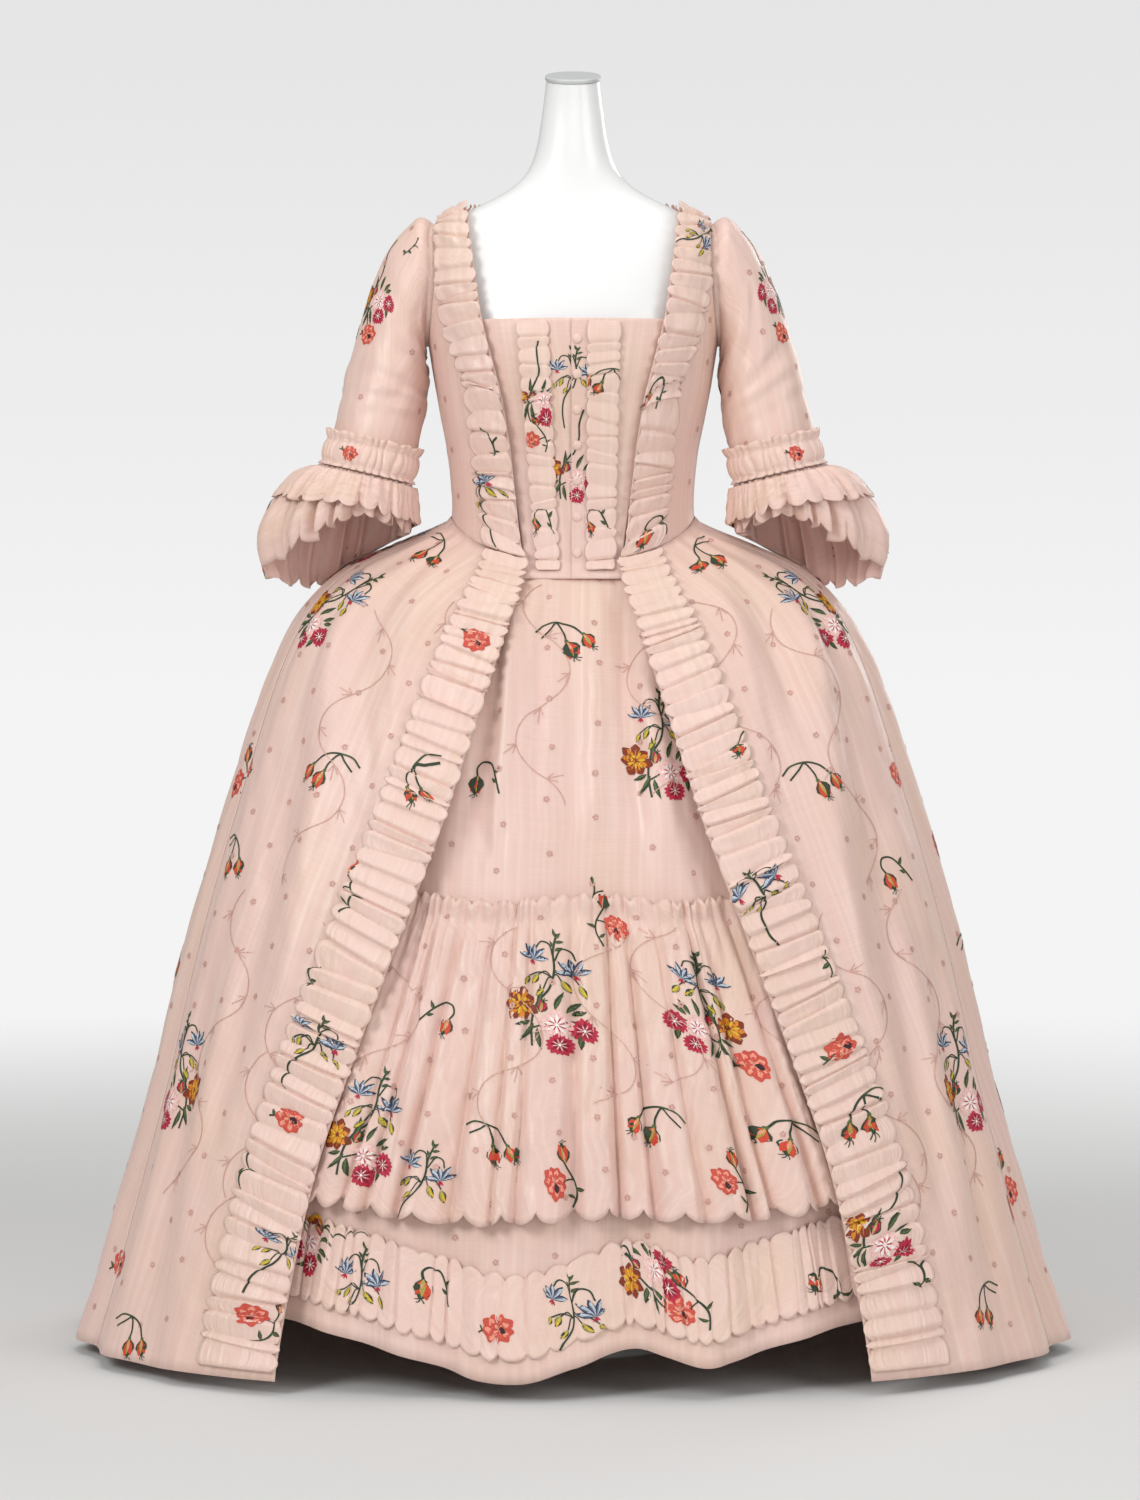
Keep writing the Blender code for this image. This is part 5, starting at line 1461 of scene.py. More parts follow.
@dataclass
class ButtonedFront:
    """The bodice's buttoned centre front: an under half, an over half that laps it, narrow gathered trims
    and small covered buttons."""

    button_heights: tuple[float, ...] = (1.130, 1.091, 1.052, 1.013, 0.974, 0.934, 0.894)
    button_x: float = 0.0045
    button_radius: float = 0.0055
    button_height: float = 0.0026
    grid: tuple[int, int] = (80, 42)

    def half(self, word: str, side: int, off: float, lap: float) -> None:
        """Makes one half, from its lapped edge to just under the bodice's edge."""
        v, u = steps_down(self.grid[0]), steps_across(self.grid[1])
        z = mix(NECK_FRONT_Z, POINT_Z, v)
        x = mix(lap, FRONT_EDGE.at(z, "out") + FRONT_LAP, u)
        points = buttoned_front(x, z, off)
        sheet = Sheet(f"buttoned_front_{word}", mirrored(points, side))
        held = np.minimum(1, 14 * u * (1 - u)) * np.minimum(1, 14 * v * (1 - v))
        pulls = sum(np.exp(-(((z - rise) - 0.25 * np.abs(x)) / 0.010) ** 2) for rise in self.button_heights)
        depth = held * (0.0008 * wander(x / 0.09 + 3, z / 0.12, 12 + side)
                        + 0.0004 * pulls * np.exp(-(x / 0.05) ** 2))
        sheet = sheet.pressed(depth if side > 0 else depth[:, ::-1])
        hang(sheet, Finish.GROUND, flowers=Brocade(sheet).flowers(ON_FRONT),
             sprigs=True)

    def narrow_trim(self, word: str, side: int, off: float, top: tuple[float, float],
                    bottom: tuple[float, float]) -> None:
        """Makes one narrow gathered trim, between its inner and outer edges at its top and bottom."""
        def bed(along: Array, across: Array) -> Array:
            z = mix(NECK_FRONT_Z, POINT_Z, mix(0.012, 0.975, along))
            inner = mix(top[0], bottom[0], along)
            return buttoned_front(inner + across, z, off)

        def width(along: Array) -> Array:
            return mix(top[1] - top[0], bottom[1] - bottom[0], along)

        trim = Furbelow(f"narrow_trim_{word}", 17, 50 + side, off=0.0022, height=0.0026, scallop=0.0035,
                        stitch=0.0052, skew=0.30, fine=9, columns=12)
        sheet = Sheet(trim.name, mirrored(trim.points(bed, width), side))
        hang(sheet, Finish.TRIM,
             flowers=Brocade(sheet).flowers(ON_NARROW_TRIM[side]))

    def buttons(self) -> None:
        """Makes the covered buttons."""
        around = np.linspace(0, 2 * math.pi, 28, endpoint=False)
        profile = ((0.0, 1.0), (0.45, 0.93), (0.78, 0.66), (0.96, 0.28), (1.0, -0.10), (0.88, -0.42))
        corners, faces = [], []
        for z in self.button_heights:
            spot = np.array([[self.button_x]]), np.array([[z]])
            middle = buttoned_front(*spot, OVER_FRONT_OFF + 0.0004)[0, 0]
            right = unit(buttoned_front(spot[0] + 0.004, spot[1], OVER_FRONT_OFF)[0, 0]
                         - buttoned_front(spot[0], spot[1], OVER_FRONT_OFF)[0, 0])
            up = unit(buttoned_front(spot[0], spot[1] + 0.004, OVER_FRONT_OFF)[0, 0]
                      - buttoned_front(spot[0], spot[1] - 0.004, OVER_FRONT_OFF)[0, 0])
            out = unit(np.cross(right, up))
            start = sum(len(part) for part in corners)
            circle = np.cos(around)[:, None] * right + np.sin(around)[:, None] * up
            rows = [middle + out * self.button_height * rise + self.button_radius * wide * circle
                    for wide, rise in profile[1:]]
            corners.append(np.concatenate([(middle + out * self.button_height)[None], *rows,
                                           (middle - out * self.button_height * 0.5)[None]]))
            total = len(rows) * len(around)
            faces += skin(start + 1 + np.arange(total).reshape(len(rows), -1), start, start + 1 + total)
        mesh = bpy.data.meshes.new("covered_buttons")
        points = np.concatenate(corners)
        mesh.from_pydata(points.tolist(), [], faces)
        mesh.uv_layers.new(name="cut")
        flat = points[[loop.vertex_index for loop in mesh.loops]][:, [0, 2]]
        mesh.uv_layers["cut"].data.foreach_set("uv", flat.astype("f").ravel())
        mesh.shade_smooth()
        mesh.materials.append(Finish.TRIM.material)
        made = add(mesh.name, mesh)
        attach(made, "root")
        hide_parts(*(f"button_{k}" for k in range(1, len(self.button_heights) + 1)))
        log.info("%s: %d faces", mesh.name, len(mesh.polygons))

    def build(self) -> None:
        """Makes the whole buttoned front."""
        self.half("under", -1, UNDER_FRONT_OFF, -0.018)
        self.half("over", 1, OVER_FRONT_OFF, -0.002)
        self.narrow_trim("left", 1, OVER_FRONT_OFF, (0.0165, 0.0520), (0.0145, 0.0455))
        self.narrow_trim("right", -1, UNDER_FRONT_OFF, (0.0277, 0.0620), (0.0150, 0.0400))
        self.buttons()


@dataclass
class Petticoat:
    """The petticoat, its deep scalloped flounce and the pleated band over its hem."""

    front_grid: tuple[int, int] = (90, 170)
    back_grid: tuple[int, int] = (50, 110)
    flounce_grid: tuple[int, int] = (50, 340)
    tubes: int = 17
    heading: float = 0.070       # share of the flounce above its gathering stitches
    scallops: int = 22
    creases: tuple[tuple[float, ...], ...] = (
        (-0.06, 0.86, -0.085, 0.56, 0.0045, 0.010), (-0.03, 0.85, -0.045, 0.60, -0.0035, 0.009),
        (0.02, 0.86, 0.03, 0.56, 0.0030, 0.014), (0.05, 0.85, 0.075, 0.54, -0.0040, 0.010),
        (0.07, 0.80, 0.11, 0.55, 0.0040, 0.012), (0.00, 0.78, 0.00, 0.54, -0.0025, 0.012),
        (-0.08, 0.74, -0.125, 0.55, -0.0040, 0.012), (-0.03, 0.40, -0.06, 0.05, 0.003, 0.02))

    def panels(self) -> None:
        """Makes the front and the back."""
        share = np.linspace(-1, 1, self.front_grid[1])
        degrees = 92 * (0.55 * share + 0.45 * share ** 3)
        angle = np.radians(degrees)[None, :]
        waist = np.minimum(waist_height(angle), PETTICOAT_TOP_Z - 0.002)
        down = steps_down(self.front_grid[0]) ** 1.3
        skirt = mix(waist, FOLDS.at(degrees, "hem"), down)
        z = np.concatenate([np.full(angle.shape, PETTICOAT_TOP_Z), skirt])
        front = Sheet("petticoat_front", petticoat(angle, z))
        inward = fade(PETTICOAT_TOP_Z - z, 0.02, 0.12)
        front = front.pressed(inward * (1.7 * creased(front, self.creases)
                                        + 0.0024 * wander(degrees / 14 + 0 * z, z / 0.5, 3)
                                        + 0.0024 * crumple(degrees / 11 + 0 * z, z / 0.22, 6)))
        woven = Brocade(front).flowers(ON_PETTICOAT)
        for x, length, seed in ((-0.115, 0.36, 1), (0.055, 0.33, 2), (-0.035, 0.34, 9)):
            woven.vine(*front.nearest(x, 0.86), length, 55, seed)
        hang(front, Finish.GROUND, flowers=woven, sprigs=True)
        seam, (rows, columns) = 92.4, self.back_grid
        angle = np.radians(np.linspace(seam, 360 - seam, columns))[None, :]
        z = mix(PETTICOAT_TOP_Z, PETTICOAT_BACK_HEM_Z, steps_down(rows) + 0 * angle)
        soft = 0.0015 * fade(WAIST_Z - z, 0.02, 0.3) * wander(np.degrees(angle) / 16, z / 0.8, 4)
        back = Sheet("petticoat_back", petticoat(angle, z, soft))
        hang(back, Finish.GROUND)

    def flounce(self) -> None:
        """Makes the flounce: scalloped heading, a line of stitches, and irregular tubes to its hem."""
        v = steps_down(self.flounce_grid[0])
        share = np.linspace(-1, 1, self.flounce_grid[1])[None, :]
        reach = np.radians(mix(27.5, 38, v))
        angle = reach * share
        free = np.clip((reach - np.abs(angle)) / math.radians(5), 0.0, 1.0)
        draw = np.random.default_rng(21)
        line = np.cumsum(draw.uniform(0.6, 1.4, self.tubes))
        line = (line - line[0]) / (line[-1] - line[0]) * 2 - 1
        lean = draw.uniform(-0.035, 0.035, self.tubes)
        drift = np.interp(share[0], line, lean)[None, :] * v
        phase = np.interp((share + drift).ravel(), line, np.arange(self.tubes)).reshape(drift.shape)
        deep = np.interp(share[0], line, draw.uniform(0.45, 1.1, self.tubes))[None, :]
        tube = 1 - 2 * (1 - np.abs(np.sin(phase * math.pi))) ** 2.2
        gathers = 1 - 2 * (1 - np.abs(np.sin(phase * math.pi * 2 + 0.7 * np.sin(phase * 2.1)))) ** 2
        sewn = np.exp(-((v - self.heading) / 0.030) ** 2)
        head = 1 - fade(v, 0.0, self.heading)
        wave = tube * mix(0.0026, 0.0115, v ** 0.8) * deep + gathers * 0.0026 * np.exp(-v / 0.16)
        lift = mix(0.0068, 0.0160, fade(v, 0.02, 0.8)) + wave * (1 - 0.55 * sewn) * mix(0.35, 1.0, free)
        lift = lift - 0.0022 * sewn + 0.0012 * head + 0.0028 * crumple(phase * 0.8, v * 2.6, 5)
        z = mix(FLOUNCE_TOP_Z, FLOUNCE_HEM_Z, v) + 0.014 * v * share ** 2 + 0.004 * np.sin(phase * 0.9)
        scallop = math.pi * 0.5 * self.scallops
        hem = np.abs(np.sin((share + 0.05 * np.sin(share * 7)) * scallop * 0.80)) ** 0.55
        top = np.abs(np.sin((share + 0.03 * np.sin(share * 9)) * scallop)) ** 0.6
        z = z - 0.013 * (hem - 0.62) * fade(v, 0.88, 1.0)
        z = z + 0.008 * (top - 0.6) * (1 - fade(v, 0.0, self.heading * 0.8))
        sheet = Sheet("petticoat_flounce", petticoat(angle, z, np.maximum(lift, 0.0030)))
        woven = Brocade(sheet).flowers(ON_FLOUNCE)
        for x, length, seed in ((-0.19, 0.25, 4), (-0.06, 0.29, 5), (0.06, 0.28, 6), (0.11, 0.26, 7),
                                (0.21, 0.24, 8)):
            woven.vine(*sheet.nearest(x, 0.49), length, 60, seed)
        hang(sheet, Finish.GROUND, flowers=woven, sprigs=True)

    def band(self) -> None:
        """Makes the pleated band."""
        reach = math.radians(40)
        low = Table("share low", *[(s, FOLDS.at(math.degrees(s * reach), "hem") + BAND_ABOVE_HEM)
                                   for s in np.linspace(-1, 1, 41)])

        def bed(along: Array, across: Array) -> Array:
            share = 1 - 2 * along
            return petticoat(share * reach, low.at(share, "low") + BAND_HEIGHT - across)

        trim = Furbelow("petticoat_band", 40, 31, scallop=0.0075, stitch=0.012, height=0.0040, skew=0.20)
        points = trim.points(bed, lambda along: np.full(np.shape(along), BAND_HEIGHT))
        sheet = Sheet(trim.name, np.swapaxes(points, 0, 1)[:, ::-1])
        hang(sheet, Finish.TRIM,
             flowers=Brocade(sheet).flowers(ON_BAND))

    def build(self) -> None:
        """Makes the whole petticoat."""
        self.panels()
        self.flounce()
        self.band()


@dataclass
class Gown:
    """The open gown: its bodice, skirts, sack back, sleeves, cuffs, flounces and trims."""

    skirt_grid: tuple[int, int] = (94, 76)
    bodice_grid: tuple[int, int] = (84, 42)
    sack_grid: tuple[int, int] = (106, 124)
    creases: tuple[tuple[float, ...], ...] = (
        (0.150, 0.925, 0.300, 0.80, 0.0060, 0.014), (0.165, 0.920, 0.335, 0.76, -0.0050, 0.012),
        (0.130, 0.915, 0.245, 0.72, -0.0040, 0.016), (0.120, 0.90, 0.215, 0.55, 0.0040, 0.018),
        (0.175, 0.92, 0.300, 0.60, 0.0050, 0.020), (0.250, 0.78, 0.330, 0.30, 0.0050, 0.024),
        (0.300, 0.72, 0.400, 0.20, -0.0060, 0.024), (0.230, 0.60, 0.330, 0.06, -0.0040, 0.020),
        (0.340, 0.55, 0.440, 0.05, 0.0060, 0.022), (0.400, 0.45, 0.470, 0.06, -0.0050, 0.018))
    back_creases: tuple[tuple[float, ...], ...] = (
        (0.150, 0.92, 0.280, 0.70, 0.0060, 0.014), (0.140, 0.91, 0.240, 0.45, -0.0060, 0.018),
        (0.300, 0.80, 0.400, 0.30, 0.0070, 0.024), (0.330, 0.60, 0.440, 0.06, -0.0070, 0.022),
        (0.260, 0.50, 0.360, 0.05, 0.0060, 0.024))

    def skirts(self, side: int, word: str) -> None:
        """Makes one side's front and side skirts."""
        for name, surface, creases, facing in (("front", skirt_front, self.creases, -1),
                                               ("side", skirt_side, self.back_creases, 1)):
            share = steps_across(self.skirt_grid[1])
            points = surface(share, steps_down(self.skirt_grid[0]) ** 1.35)
            points[0] = points[0] * (0.989, 0.989, 1) + (0, 0, 0.0040)
            z = points[..., 2]
            loose = fade(WAIST_Z - z, 0.01, 0.16)
            angle = np.arctan2(points[..., 0], -points[..., 1])
            soft = 0.0036 * loose * wander(angle * 5.5, z / 0.85, 40 + side + 5 * facing)
            pleats = 0.0016 * np.exp(-((WAIST_Z - z) / 0.10)) * np.sin(angle * 46) * fade(angle, 0.5, 1.2)
            pleats = pleats * fade(WAIST_Z - z, 0.004, 0.03)
            sheet = Sheet(f"skirt_{name}_{word}", mirrored(points, side))
            placed = [(x0 * side, z0, x1 * side, z1, depth * (0.85 if side < 0 else 1), wide)
                      for x0, z0, x1, z1, depth, wide in creases]
            extra = soft + pleats + 0.0026 * loose * crumple(angle * 3.4, z / 0.26, 46 + side + facing)
            seam = 1 - fade(share if name == "front" else 1 - share, 0.88, 1.0)
            if name == "front":
                seam = seam * fade(run_length(points, 1) - FRONT_EDGE.at(z, "trim"), -0.006, 0.035)
            seam, loose = (seam, loose) if side > 0 else (seam[:, ::-1], loose[:, ::-1])
            depth = (1.9 if facing < 0 else 2.3) * creased(sheet, placed, facing) * loose
            sheet = sheet.pressed((depth + (extra if side > 0 else extra[:, ::-1])) * seam)
            woven = Brocade(sheet)
            if name == "front":
                woven.flowers(ON_SKIRT[side])
                for x, z0, length, seed in (
                        (0.13, 0.84, 0.36, 11), (0.22, 0.83, 0.42, 12), (0.27, 0.50, 0.40, 13),
                        (0.36, 0.52, 0.44, 14), (0.33, 0.36, 0.30, 15)):
                    woven.vine(*sheet.nearest(x * side, z0), length, 55, seed + side)
            else:
                woven.repeat(LOOM, LOOM_WIDTH, LOOM_HEIGHT, start=(0.05, -0.06))
            hang(sheet, Finish.GROUND,
                 flowers=woven, sprigs=True)

    def bodice(self, side: int, word: str) -> None:
        """Makes one side's bodice front and side back, with soft strain lines."""
        for name, surface in (("bodice_front", bodice_front), ("bodice_side_back", bodice_back)):
            rows, columns = self.bodice_grid
            points = mirrored(gridded(surface, rows, columns), side)
            sheet = Sheet(f"{name}_{word}", points)
            edge, ends = (np.minimum(1, 12 * t * (1 - t)) for t in (steps_across(columns), steps_down(rows)))
            x, _, z = np.moveaxis(points, -1, 0)
            sheet = sheet.pressed(edge * ends * (0.0010 * wander(x / 0.10, z / 0.13, 60 + side)
                                                 + 0.0010 * crumple(x / 0.07, z / 0.10, 62 + side)))
            woven = Brocade(sheet)
            if name == "bodice_side_back":
                woven.repeat(LOOM, LOOM_WIDTH, LOOM_HEIGHT, start=(0.02, -0.10))
            hang(sheet, Finish.GROUND, flowers=woven, sprigs=True)

    def edge_trims(self, side: int, word: str) -> None:
        """Makes one side's gathered trims down the bodice and the skirt."""
        for name, surface, pleats, seed, bounds, places in (
                ("bodice_trim", bodice_front, 25, 70, (0.0, 0.006, 1.0, 1.0, 0.85), ON_BODICE_TRIM),
                ("skirt_trim", skirt_front, 57, 80, (0.030, 0.0, 0.992, 1.06, 0.0), ON_SKIRT_TRIM)):
            bed = edged(surface, *bounds)

            def width(along: Array) -> Array:
                return FRONT_EDGE.at(bed(along, np.zeros(np.shape(along)))[..., 2], "trim")

            trim = Furbelow(f"{name}_{word}", pleats, seed + side)
            sheet = Sheet(trim.name, mirrored(trim.points(bed, width), side))
            hang(sheet, Finish.TRIM,
                 flowers=Brocade(sheet).flowers(places[side]))

    def sack(self) -> None:
        """Makes the sack back: two double box pleats from the neck, loose below, and its neck trim."""
        z = mix(NAPE_Z, HEM_Z, steps_down(self.sack_grid[0]) ** 1.1)
        across = np.linspace(1, -1, self.sack_grid[1])[None, :]
        relief = PLEATS.at(np.abs(across), "relief")
        loose = fade(NAPE_Z - z, 0.15, 0.9)
        sheet = Sheet("sack_back", sack_point(across, relief, z))
        wide, out = 0.012 + 0.07 * loose, np.abs(across)
        drift = 0.03 * loose * np.sin(z * 5 + 3 * np.sign(across))
        laps = sum(size * (1 - fade(out + drift - where, 0.0, wide)) * fade(out, 0.03, where)
                   for where, size in ((0.37, 0.0105), (0.60, 0.0080)))
        middle = 1 - out ** 6
        sheet = sheet.pressed(middle * (laps + 0.0080 * loose * wander(across * 1.3, z / 1.1, 90)
                                        + 0.0025 * crumple(across * 1.5, z / 0.3, 95)))
        edges, out = sheet.points[:, [0, -1]], sheet.normals()[:, [0, -1]]
        turned = [edges - out * deep + place([-back, back], 0, 0)
                  for deep, back in ((0.0030, 0.0002), (0.0078, 0.0020))]
        sheet = Sheet(sheet.name, np.concatenate([turned[1][:, :1], turned[0][:, :1], sheet.points,
                                                  turned[0][:, 1:], turned[1][:, 1:]], axis=1))
        woven = Brocade(sheet)
        woven.repeat(LOOM, LOOM_WIDTH, LOOM_HEIGHT, start=(0.105, -0.10))
        hang(sheet, Finish.GROUND, flowers=woven,
             sprigs=True)
        degrees = (268.4, 91.6)

        def bed(along: Array, across: Array) -> Array:
            angle = np.radians(mix(degrees[0], degrees[1], along))
            behind = np.clip(-2.5 * np.cos(angle), 0.0, 1.0)
            level = NAPE_Z - 0.002 - across * (1 + 0.5 * behind)
            point = on_form(angle, np.minimum(level, 1.2875), 0.0158)
            side = SACK.at(level, "side")
            over = sack_point(np.minimum(1.0, np.abs(point[..., 0]) / side), 1.1, level)[..., 1] + 0.0028
            near = fade(side + 0.045 - np.abs(point[..., 0]), 0.0, 0.02)
            y = mix(point[..., 1], np.maximum(point[..., 1], over), near)
            return place(point[..., 0], y, level)

        trim = Furbelow("back_neck_trim", 17, 93, scallop=0.005, stitch=0.005, height=0.0030, off=0.0026,
                        skew=0.2)
        grid = trim.points(bed, lambda along: np.full(np.shape(along), 0.017))
        hang(Sheet(trim.name, np.swapaxes(grid, 0, 1)[:, ::-1]), Finish.TRIM,
             strip=(0.52, 0.044))

    def build(self) -> None:
        """Makes the whole gown."""
        for side, word in ((1, "left"), (-1, "right")):
            self.skirts(side, word)
            self.bodice(side, word)
            self.edge_trims(side, word)
            Sleeve(side, word).build()
        self.sack()


@dataclass
class Sleeve:
    """One elbow sleeve with its gathered cuff and two scalloped flounces."""

    side: int
    word: str
    gathers: int = 33
    scallops: tuple[int, int] = (25, 27)
    head_rows: int = 10
    tube_grid: tuple[int, int] = (72, 84)
    cuff_grid: tuple[int, int] = (17, 320)
    flounce_grid: tuple[int, int] = (27, 270)
    # Flowers as flower, row, column or share of the way round, turn and size.
    on_tube: tuple[tuple, ...] = ((Flower.PINKS, 35.4, 55.8, 8, 0.8), (Flower.PAIR, 57.6, 48.6, 0, 0.8))
    on_upper: tuple[tuple, ...] = ((Flower.PINKS, 15.0, 0.30, 40, 0.6), (Flower.PAIR, 13.2, 0.62, 0, 0.7),
                                   (Flower.IRIS, 15.9, 0.42, 90, 0.6))
    on_lower: tuple[tuple, ...] = ((Flower.SPRAY, 15.0, 0.46, 10, 0.7), (Flower.LONE, 19.4, 0.72, 0, 0.8),
                                   (Flower.PAIR, 19.4, 0.28, 0, 0.8))

    def tube(self) -> None:
        """Makes the sleeve, with folds that run round the arm to the bend of the elbow."""
        angle = once_round(self.tube_grid[1])
        head, first = sleeve_head(angle), on_sleeve(0.10, angle)
        bend = first - 3.5 * (on_sleeve(0.11, angle) - first)
        t = np.linspace(0, 1, self.head_rows, endpoint=False)[:, None, None]
        upper = (1 - t) ** 2 * head + 2 * t * (1 - t) * bend + t * t * first
        tucked = head - np.array([[[0.0095, 0.0, 0.0]], [[0.0015, 0.0, 0.0]]])
        along = np.linspace(0.10, 1.0, self.tube_grid[0])[:, None]
        points = np.concatenate([tucked, upper, on_sleeve(along, angle)])
        sheet = Sheet(f"sleeve_{self.word}", mirrored(points, self.side), closed=True)
        t = np.concatenate([np.zeros(len(points) - len(along)), (along[:, 0] - 0.10) / 0.9])[:, None]
        turn = angle if self.side > 0 else 2 * math.pi - angle[:, ::-1]
        hold = fade(t, 0.0, 0.12) * (1 - fade(t, 0.86, 0.97))
        elbow = np.exp(-((t - 0.55) / 0.22) ** 2) * np.cos(turn - 0.3)
        folds = 0.0011 * elbow * np.sin(t * 44 + 2.6 * np.sin(turn + 0.5) + 1.5 * np.sin(t * 9 + turn))
        folds = folds + 0.0024 * crumple(np.cos(turn) * 0.5 + t * 1.1, t * 1.9 + np.sin(turn) * 0.5,
                                         104 + self.side)
        ease = 0.0016 * np.exp(-t / 0.12) * fade(t, 0.0, 0.03) * np.sin(turn * 13) * (np.sin(turn) > 0)
        long = 0.0020 * np.sin(turn * 3 + 4 * t + self.side) * np.sin(t * math.pi)
        soft = 0.0012 * wander(np.cos(turn) * 0.6, t * 2.4 + np.sin(turn), 100)
        sheet = sheet.pressed(hold * (folds + long + soft) + ease)
        woven = Brocade(sheet).flowers(ON_SLEEVE[self.side])
        for flower in self.on_tube:
            woven.flower(*flower)
        hang(sheet, Finish.GROUND,
             flowers=woven, sprigs=True)

    def cuff(self) -> None:
        """Makes the gathered band, puffed between two lines of stitches, with a frilled edge each side."""
        v, angle = steps_down(self.cuff_grid[0]), once_round(self.cuff_grid[1])
        phase = self.gathers * angle + 1.5 * np.sin(angle * 5) + 0.9 * np.sin(angle * 11 + 2)
        phase = phase + 0.8 * np.sin(angle * 9 + 5 * v)
        pleat = 1 - 2 * (1 - np.abs(np.sin(phase / 2))) ** 1.8
        sewn = np.exp(-((v - 0.20) / 0.06) ** 2) + np.exp(-((v - 0.86) / 0.05) ** 2)
        puff = np.sin(np.clip((v - 0.2) / 0.66, 0, 1) * math.pi)
        frill = fade(0.20 - v, 0.0, 0.20) + fade(v - 0.86, 0.0, 0.14)
        off = 0.0042 + 0.0018 * puff + pleat * (0.0015 + 0.0012 * frill) * (1 - 0.45 * sewn) + 0.0016 * frill
        slide = 0.0030 * v - 0.0050 * frill * (v < 0.5) * (0.5 + 0.5 * np.abs(np.sin(phase / 4)))
        points = on_sleeve(mix(0.90, 1.0, v), angle, off - 0.0008 * sewn, slide)
        sheet = Sheet(f"cuff_{self.word}", mirrored(points, self.side), closed=True)
        woven = Brocade(sheet)
        woven.flower(Flower.LONE, 8.2, self.cuff_grid[1] * (0.06 if self.side > 0 else 0.93), 30, 0.55)
        hang(sheet, Finish.TRIM, flowers=woven)

    def flounce(self, tier: str, scallops: int, folds: int, seed: int) -> None:
        """Makes one flounce: gathered at its top, flaring into uneven tubes, and scalloped at its hem."""
        upper = tier == "upper"
        s, angle = steps_down(self.flounce_grid[0]), once_round(self.flounce_grid[1])
        degrees = (np.degrees(angle) + 180) % 360 - 180
        length = FLOUNCES.at(degrees, tier)
        lean = np.radians(FLOUNCES.at(degrees, f"{tier}_flare")) * (1 - (0.3 * s if upper else 0.6 * s ** 3))
        _, out, down = sleeve_frame(np.array(1.0))
        base = on_sleeve(1.0, angle, 0.0095 if upper else 0.0030, 0.0065 if upper else 0.0040)
        radial = unit(out * np.sin(angle)[..., None] - place(0, np.cos(angle), 0))
        heading = down * np.cos(lean)[..., None] + radial * np.sin(lean)[..., None]
        heading = unit(heading + place(0, 0, -0.25) * s[..., None])
        phase = folds * angle + 1.3 * np.sin(3 * angle + seed) + 0.8 * np.sin(7 * angle + 2 * seed)
        tube = 1 - 2 * (1 - np.abs(np.sin(phase / 2))) ** 2.0
        tall = 1 + 0.40 * np.sin(5 * angle + seed) + 0.25 * np.sin(11 * angle + seed)
        wave = (0.0008 + (0.0034 if upper else 0.0088) * s ** 0.8) * tube * tall
        wave = wave + 0.0015 * (1 - s) ** 0.7 * np.sin(phase * 3) + 0.0018 * crumple(
            np.cos(angle) * 1.3 + s, np.sin(angle) * 1.3 + 0.6 * s, seed + 7)
        cut = np.abs(np.sin(scallops * angle / 2 + 1.2 * np.sin(2 * angle + seed))) ** 0.45
        deep = 0.0105 * (1 + 0.35 * np.sin(4 * angle + seed) + 0.2 * np.sin(9 * angle))
        reach = length * s + deep * (cut - 0.75) * fade(s, 0.62, 1.0)
        wave = wave + 0.0022 * (cut - 0.5) * fade(s, 0.5, 1.0)
        points = base + heading * reach[..., None] + radial * wave[..., None]
        points = clear_of_skirt(points, 0.020 if upper else 0.009)
        sheet = Sheet(f"flounce_{tier}_{self.word}", mirrored(points, self.side), closed=True)
        woven = Brocade(sheet)
        for kind, row, share, turn, size in self.on_upper if upper else self.on_lower:
            column = self.flounce_grid[1] * (share if self.side > 0 else 1 - share)
            woven.flower(kind, row, column, turn, size)
        # The inner face takes the lighter copy of the silk: painted light for the flounce's shaded hollow.
        hang(sheet, Finish.GROUND, flowers=woven,
             inside=Finish.UNFADED)

    def build(self) -> None:
        """Makes the whole sleeve."""
        self.tube()
        self.cuff()
        self.flounce("upper", self.scallops[0], 14, 3)
        self.flounce("lower", self.scallops[1], 15, 5)


# The studio.

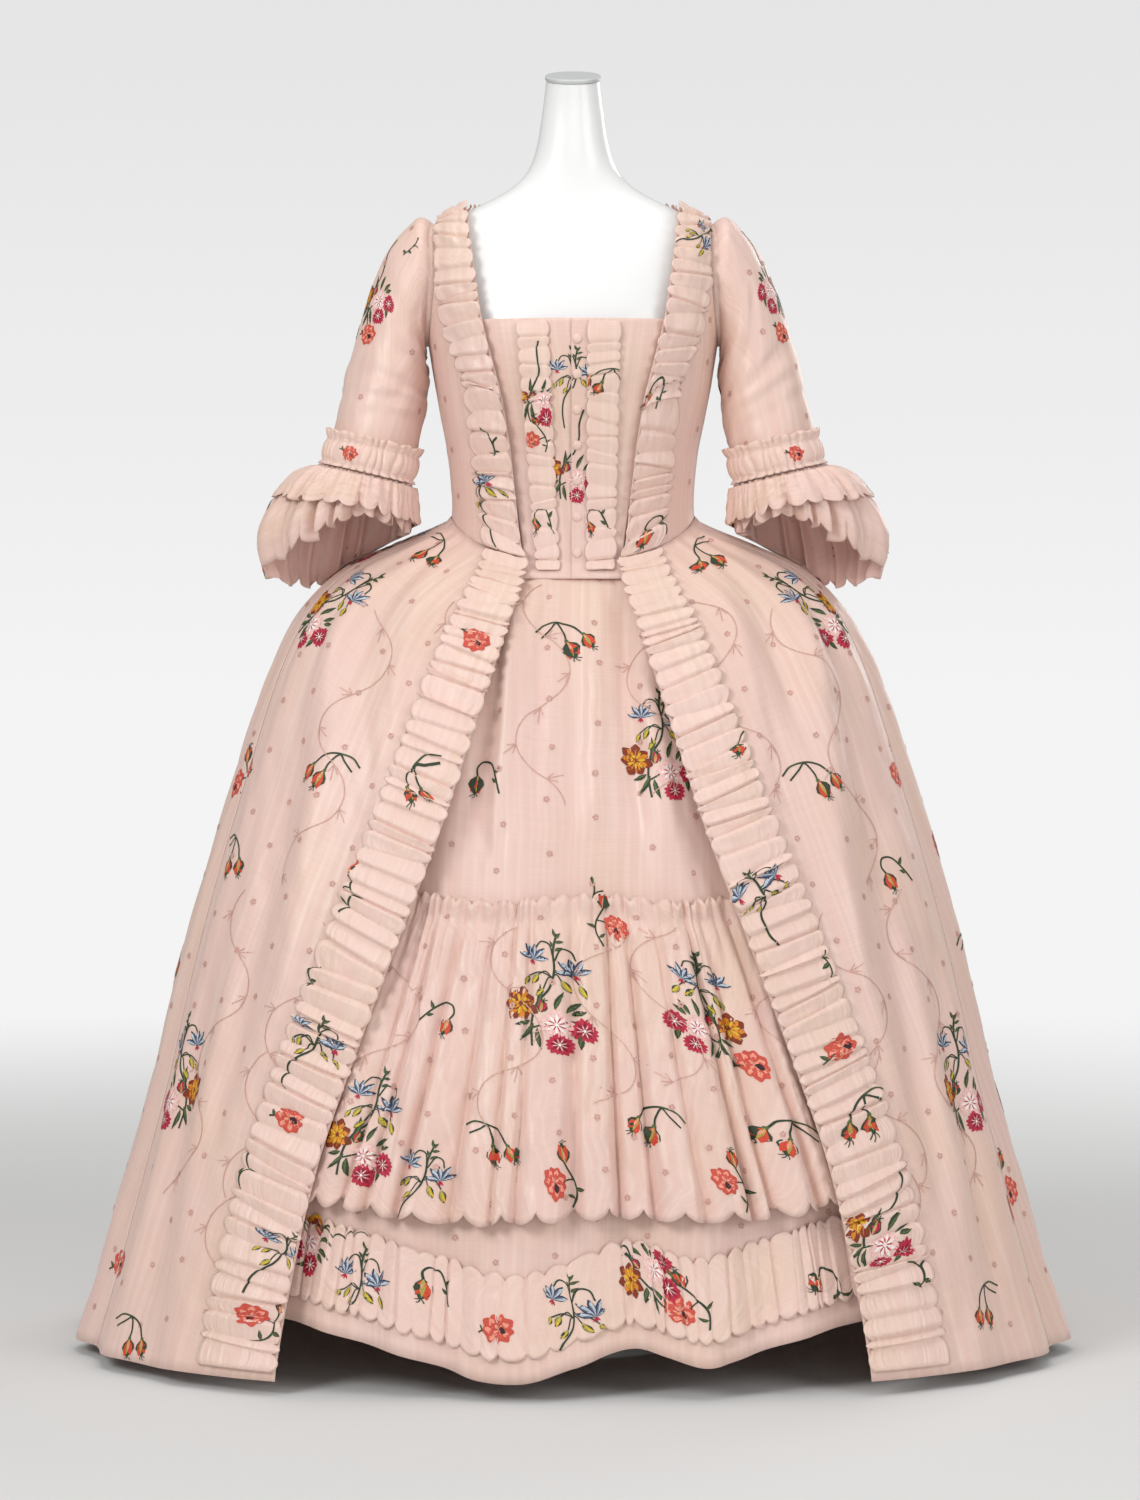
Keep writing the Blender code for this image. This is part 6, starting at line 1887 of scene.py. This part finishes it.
@dataclass
class Studio:
    """A pale floor that fades into an even pale background on every side, soft lights and the camera."""

    floor: str = "#dfdfde"
    fade_from: float = 1.0
    fade_to: float = 4.2
    low_sky: float = 0.905       # the background's brightness at eye level, and higher up
    high_sky: float = 0.77
    ambient: float = 0.34
    lights: tuple[tuple[str, tuple[float, float, float], tuple[float, float, float], float, float], ...] = (
        ("key", (-2.6, -3.2, 2.8), (0.0, 0.0, 0.75), 1.6, 84.0),
        ("fill", (3.0, -3.0, 1.9), (0.0, 0.0, 0.65), 2.2, 48.0),
        ("front", (0.5, -5.6, 1.1), (0.0, 0.0, 0.8), 2.2, 27.0),
        ("top", (0.0, -0.4, 3.6), (0.0, 0.0, 0.5), 2.4, 34.0),
        ("behind", (2.4, 3.5, 2.2), (0.0, 0.0, 0.8), 1.8, 40.0))
    camera: tuple[tuple[float, float, float], tuple[float, float, float], float] = (
        (-0.0034, -5.0, 0.85), (-0.0034, 0.0, 0.672), 105.9)

    @staticmethod
    def aimed(thing: bpy.types.Object, place_at: Sequence[float], target: Sequence[float]) -> None:
        """Puts an object there, with its -Z axis towards the target."""
        thing.location = place_at
        towards = Vector(target) - Vector(place_at)
        thing.rotation_euler = towards.to_track_quat("-Z", "Y").to_euler()
        bpy.context.scene.collection.objects.link(thing)

    def ground(self) -> None:
        """Makes the floor, a disc that turns transparent away from the middle."""
        angle = np.linspace(0, 2 * math.pi, 96, endpoint=False)
        mesh = bpy.data.meshes.new("studio_floor")
        edge = place(np.cos(angle), np.sin(angle), 0.0) * (self.fade_to + 0.1)
        mesh.from_pydata(edge.tolist(), [], [tuple(range(len(angle)))])
        paper, tree, shader = fresh("studio paper")
        wire(tree, shader, Base_Color=linear(self.floor), Roughness=0.9, Specular_IOR_Level=0.1)
        where = node(tree, "ShaderNodeTexCoord").outputs["Object"]
        away = node(tree, "ShaderNodeVectorMath", {"operation": "LENGTH"}, i0=where).outputs["Value"]
        share = node(tree, "ShaderNodeMapRange", {"interpolation_type": "SMOOTHSTEP"}, i0=away,
                     i1=self.fade_from, i2=self.fade_to).outputs[0]
        clear = node(tree, "ShaderNodeBsdfTransparent").outputs[0]
        mixed = node(tree, "ShaderNodeMixShader", i0=share, i1=shader.outputs[0], i2=clear).outputs[0]
        wire(tree, tree.nodes["Material Output"], Surface=mixed)
        mesh.materials.append(paper)
        add(mesh.name, mesh)

    def background(self) -> None:
        """Makes the world: an even soft light, seen as a pale grey a little darker higher up."""
        world = bpy.data.worlds.new("studio")
        world.use_nodes = True
        tree = world.node_tree
        where = node(tree, "ShaderNodeTexCoord").outputs["Generated"]
        rise = node(tree, "ShaderNodeSeparateXYZ", i0=where).outputs["Z"]
        seen = node(tree, "ShaderNodeMapRange", i0=rise, i1=-0.03, i2=0.15, i3=self.low_sky,
                    i4=self.high_sky).outputs[0]
        by_camera = node(tree, "ShaderNodeLightPath").outputs["Is Camera Ray"]
        strength = node(tree, "ShaderNodeMix", {"data_type": "FLOAT"}, i0=by_camera, i2=self.ambient,
                        i3=seen).outputs[0]
        wire(tree, tree.nodes["Background"], Strength=strength, Color=(1.0, 1.0, 1.0, 1.0))
        bpy.context.scene.world = world

    def build(self) -> None:
        """Makes the floor, lights, world and camera."""
        self.ground()
        self.background()
        for name, at, target, size, power in self.lights:
            lamp = bpy.data.lights.new(name, "AREA")
            lamp.size, lamp.energy = size, power
            self.aimed(bpy.data.objects.new(name, lamp), at, target)
        at, target, lens = self.camera
        camera = bpy.data.cameras.new("front")
        camera.lens = lens
        seen = bpy.data.objects.new("front", camera)
        self.aimed(seen, at, target)
        bpy.context.scene.camera = seen
        bpy.context.scene.view_settings.view_transform = "Standard"


def main() -> None:
    """Builds the form, the garment and the studio."""
    for part in (DressForm(), Petticoat(), ButtonedFront(), Gown(), Studio()):
        part.build()
        log.info("built: %s", type(part).__name__)


if __name__ == "__main__":
    main()
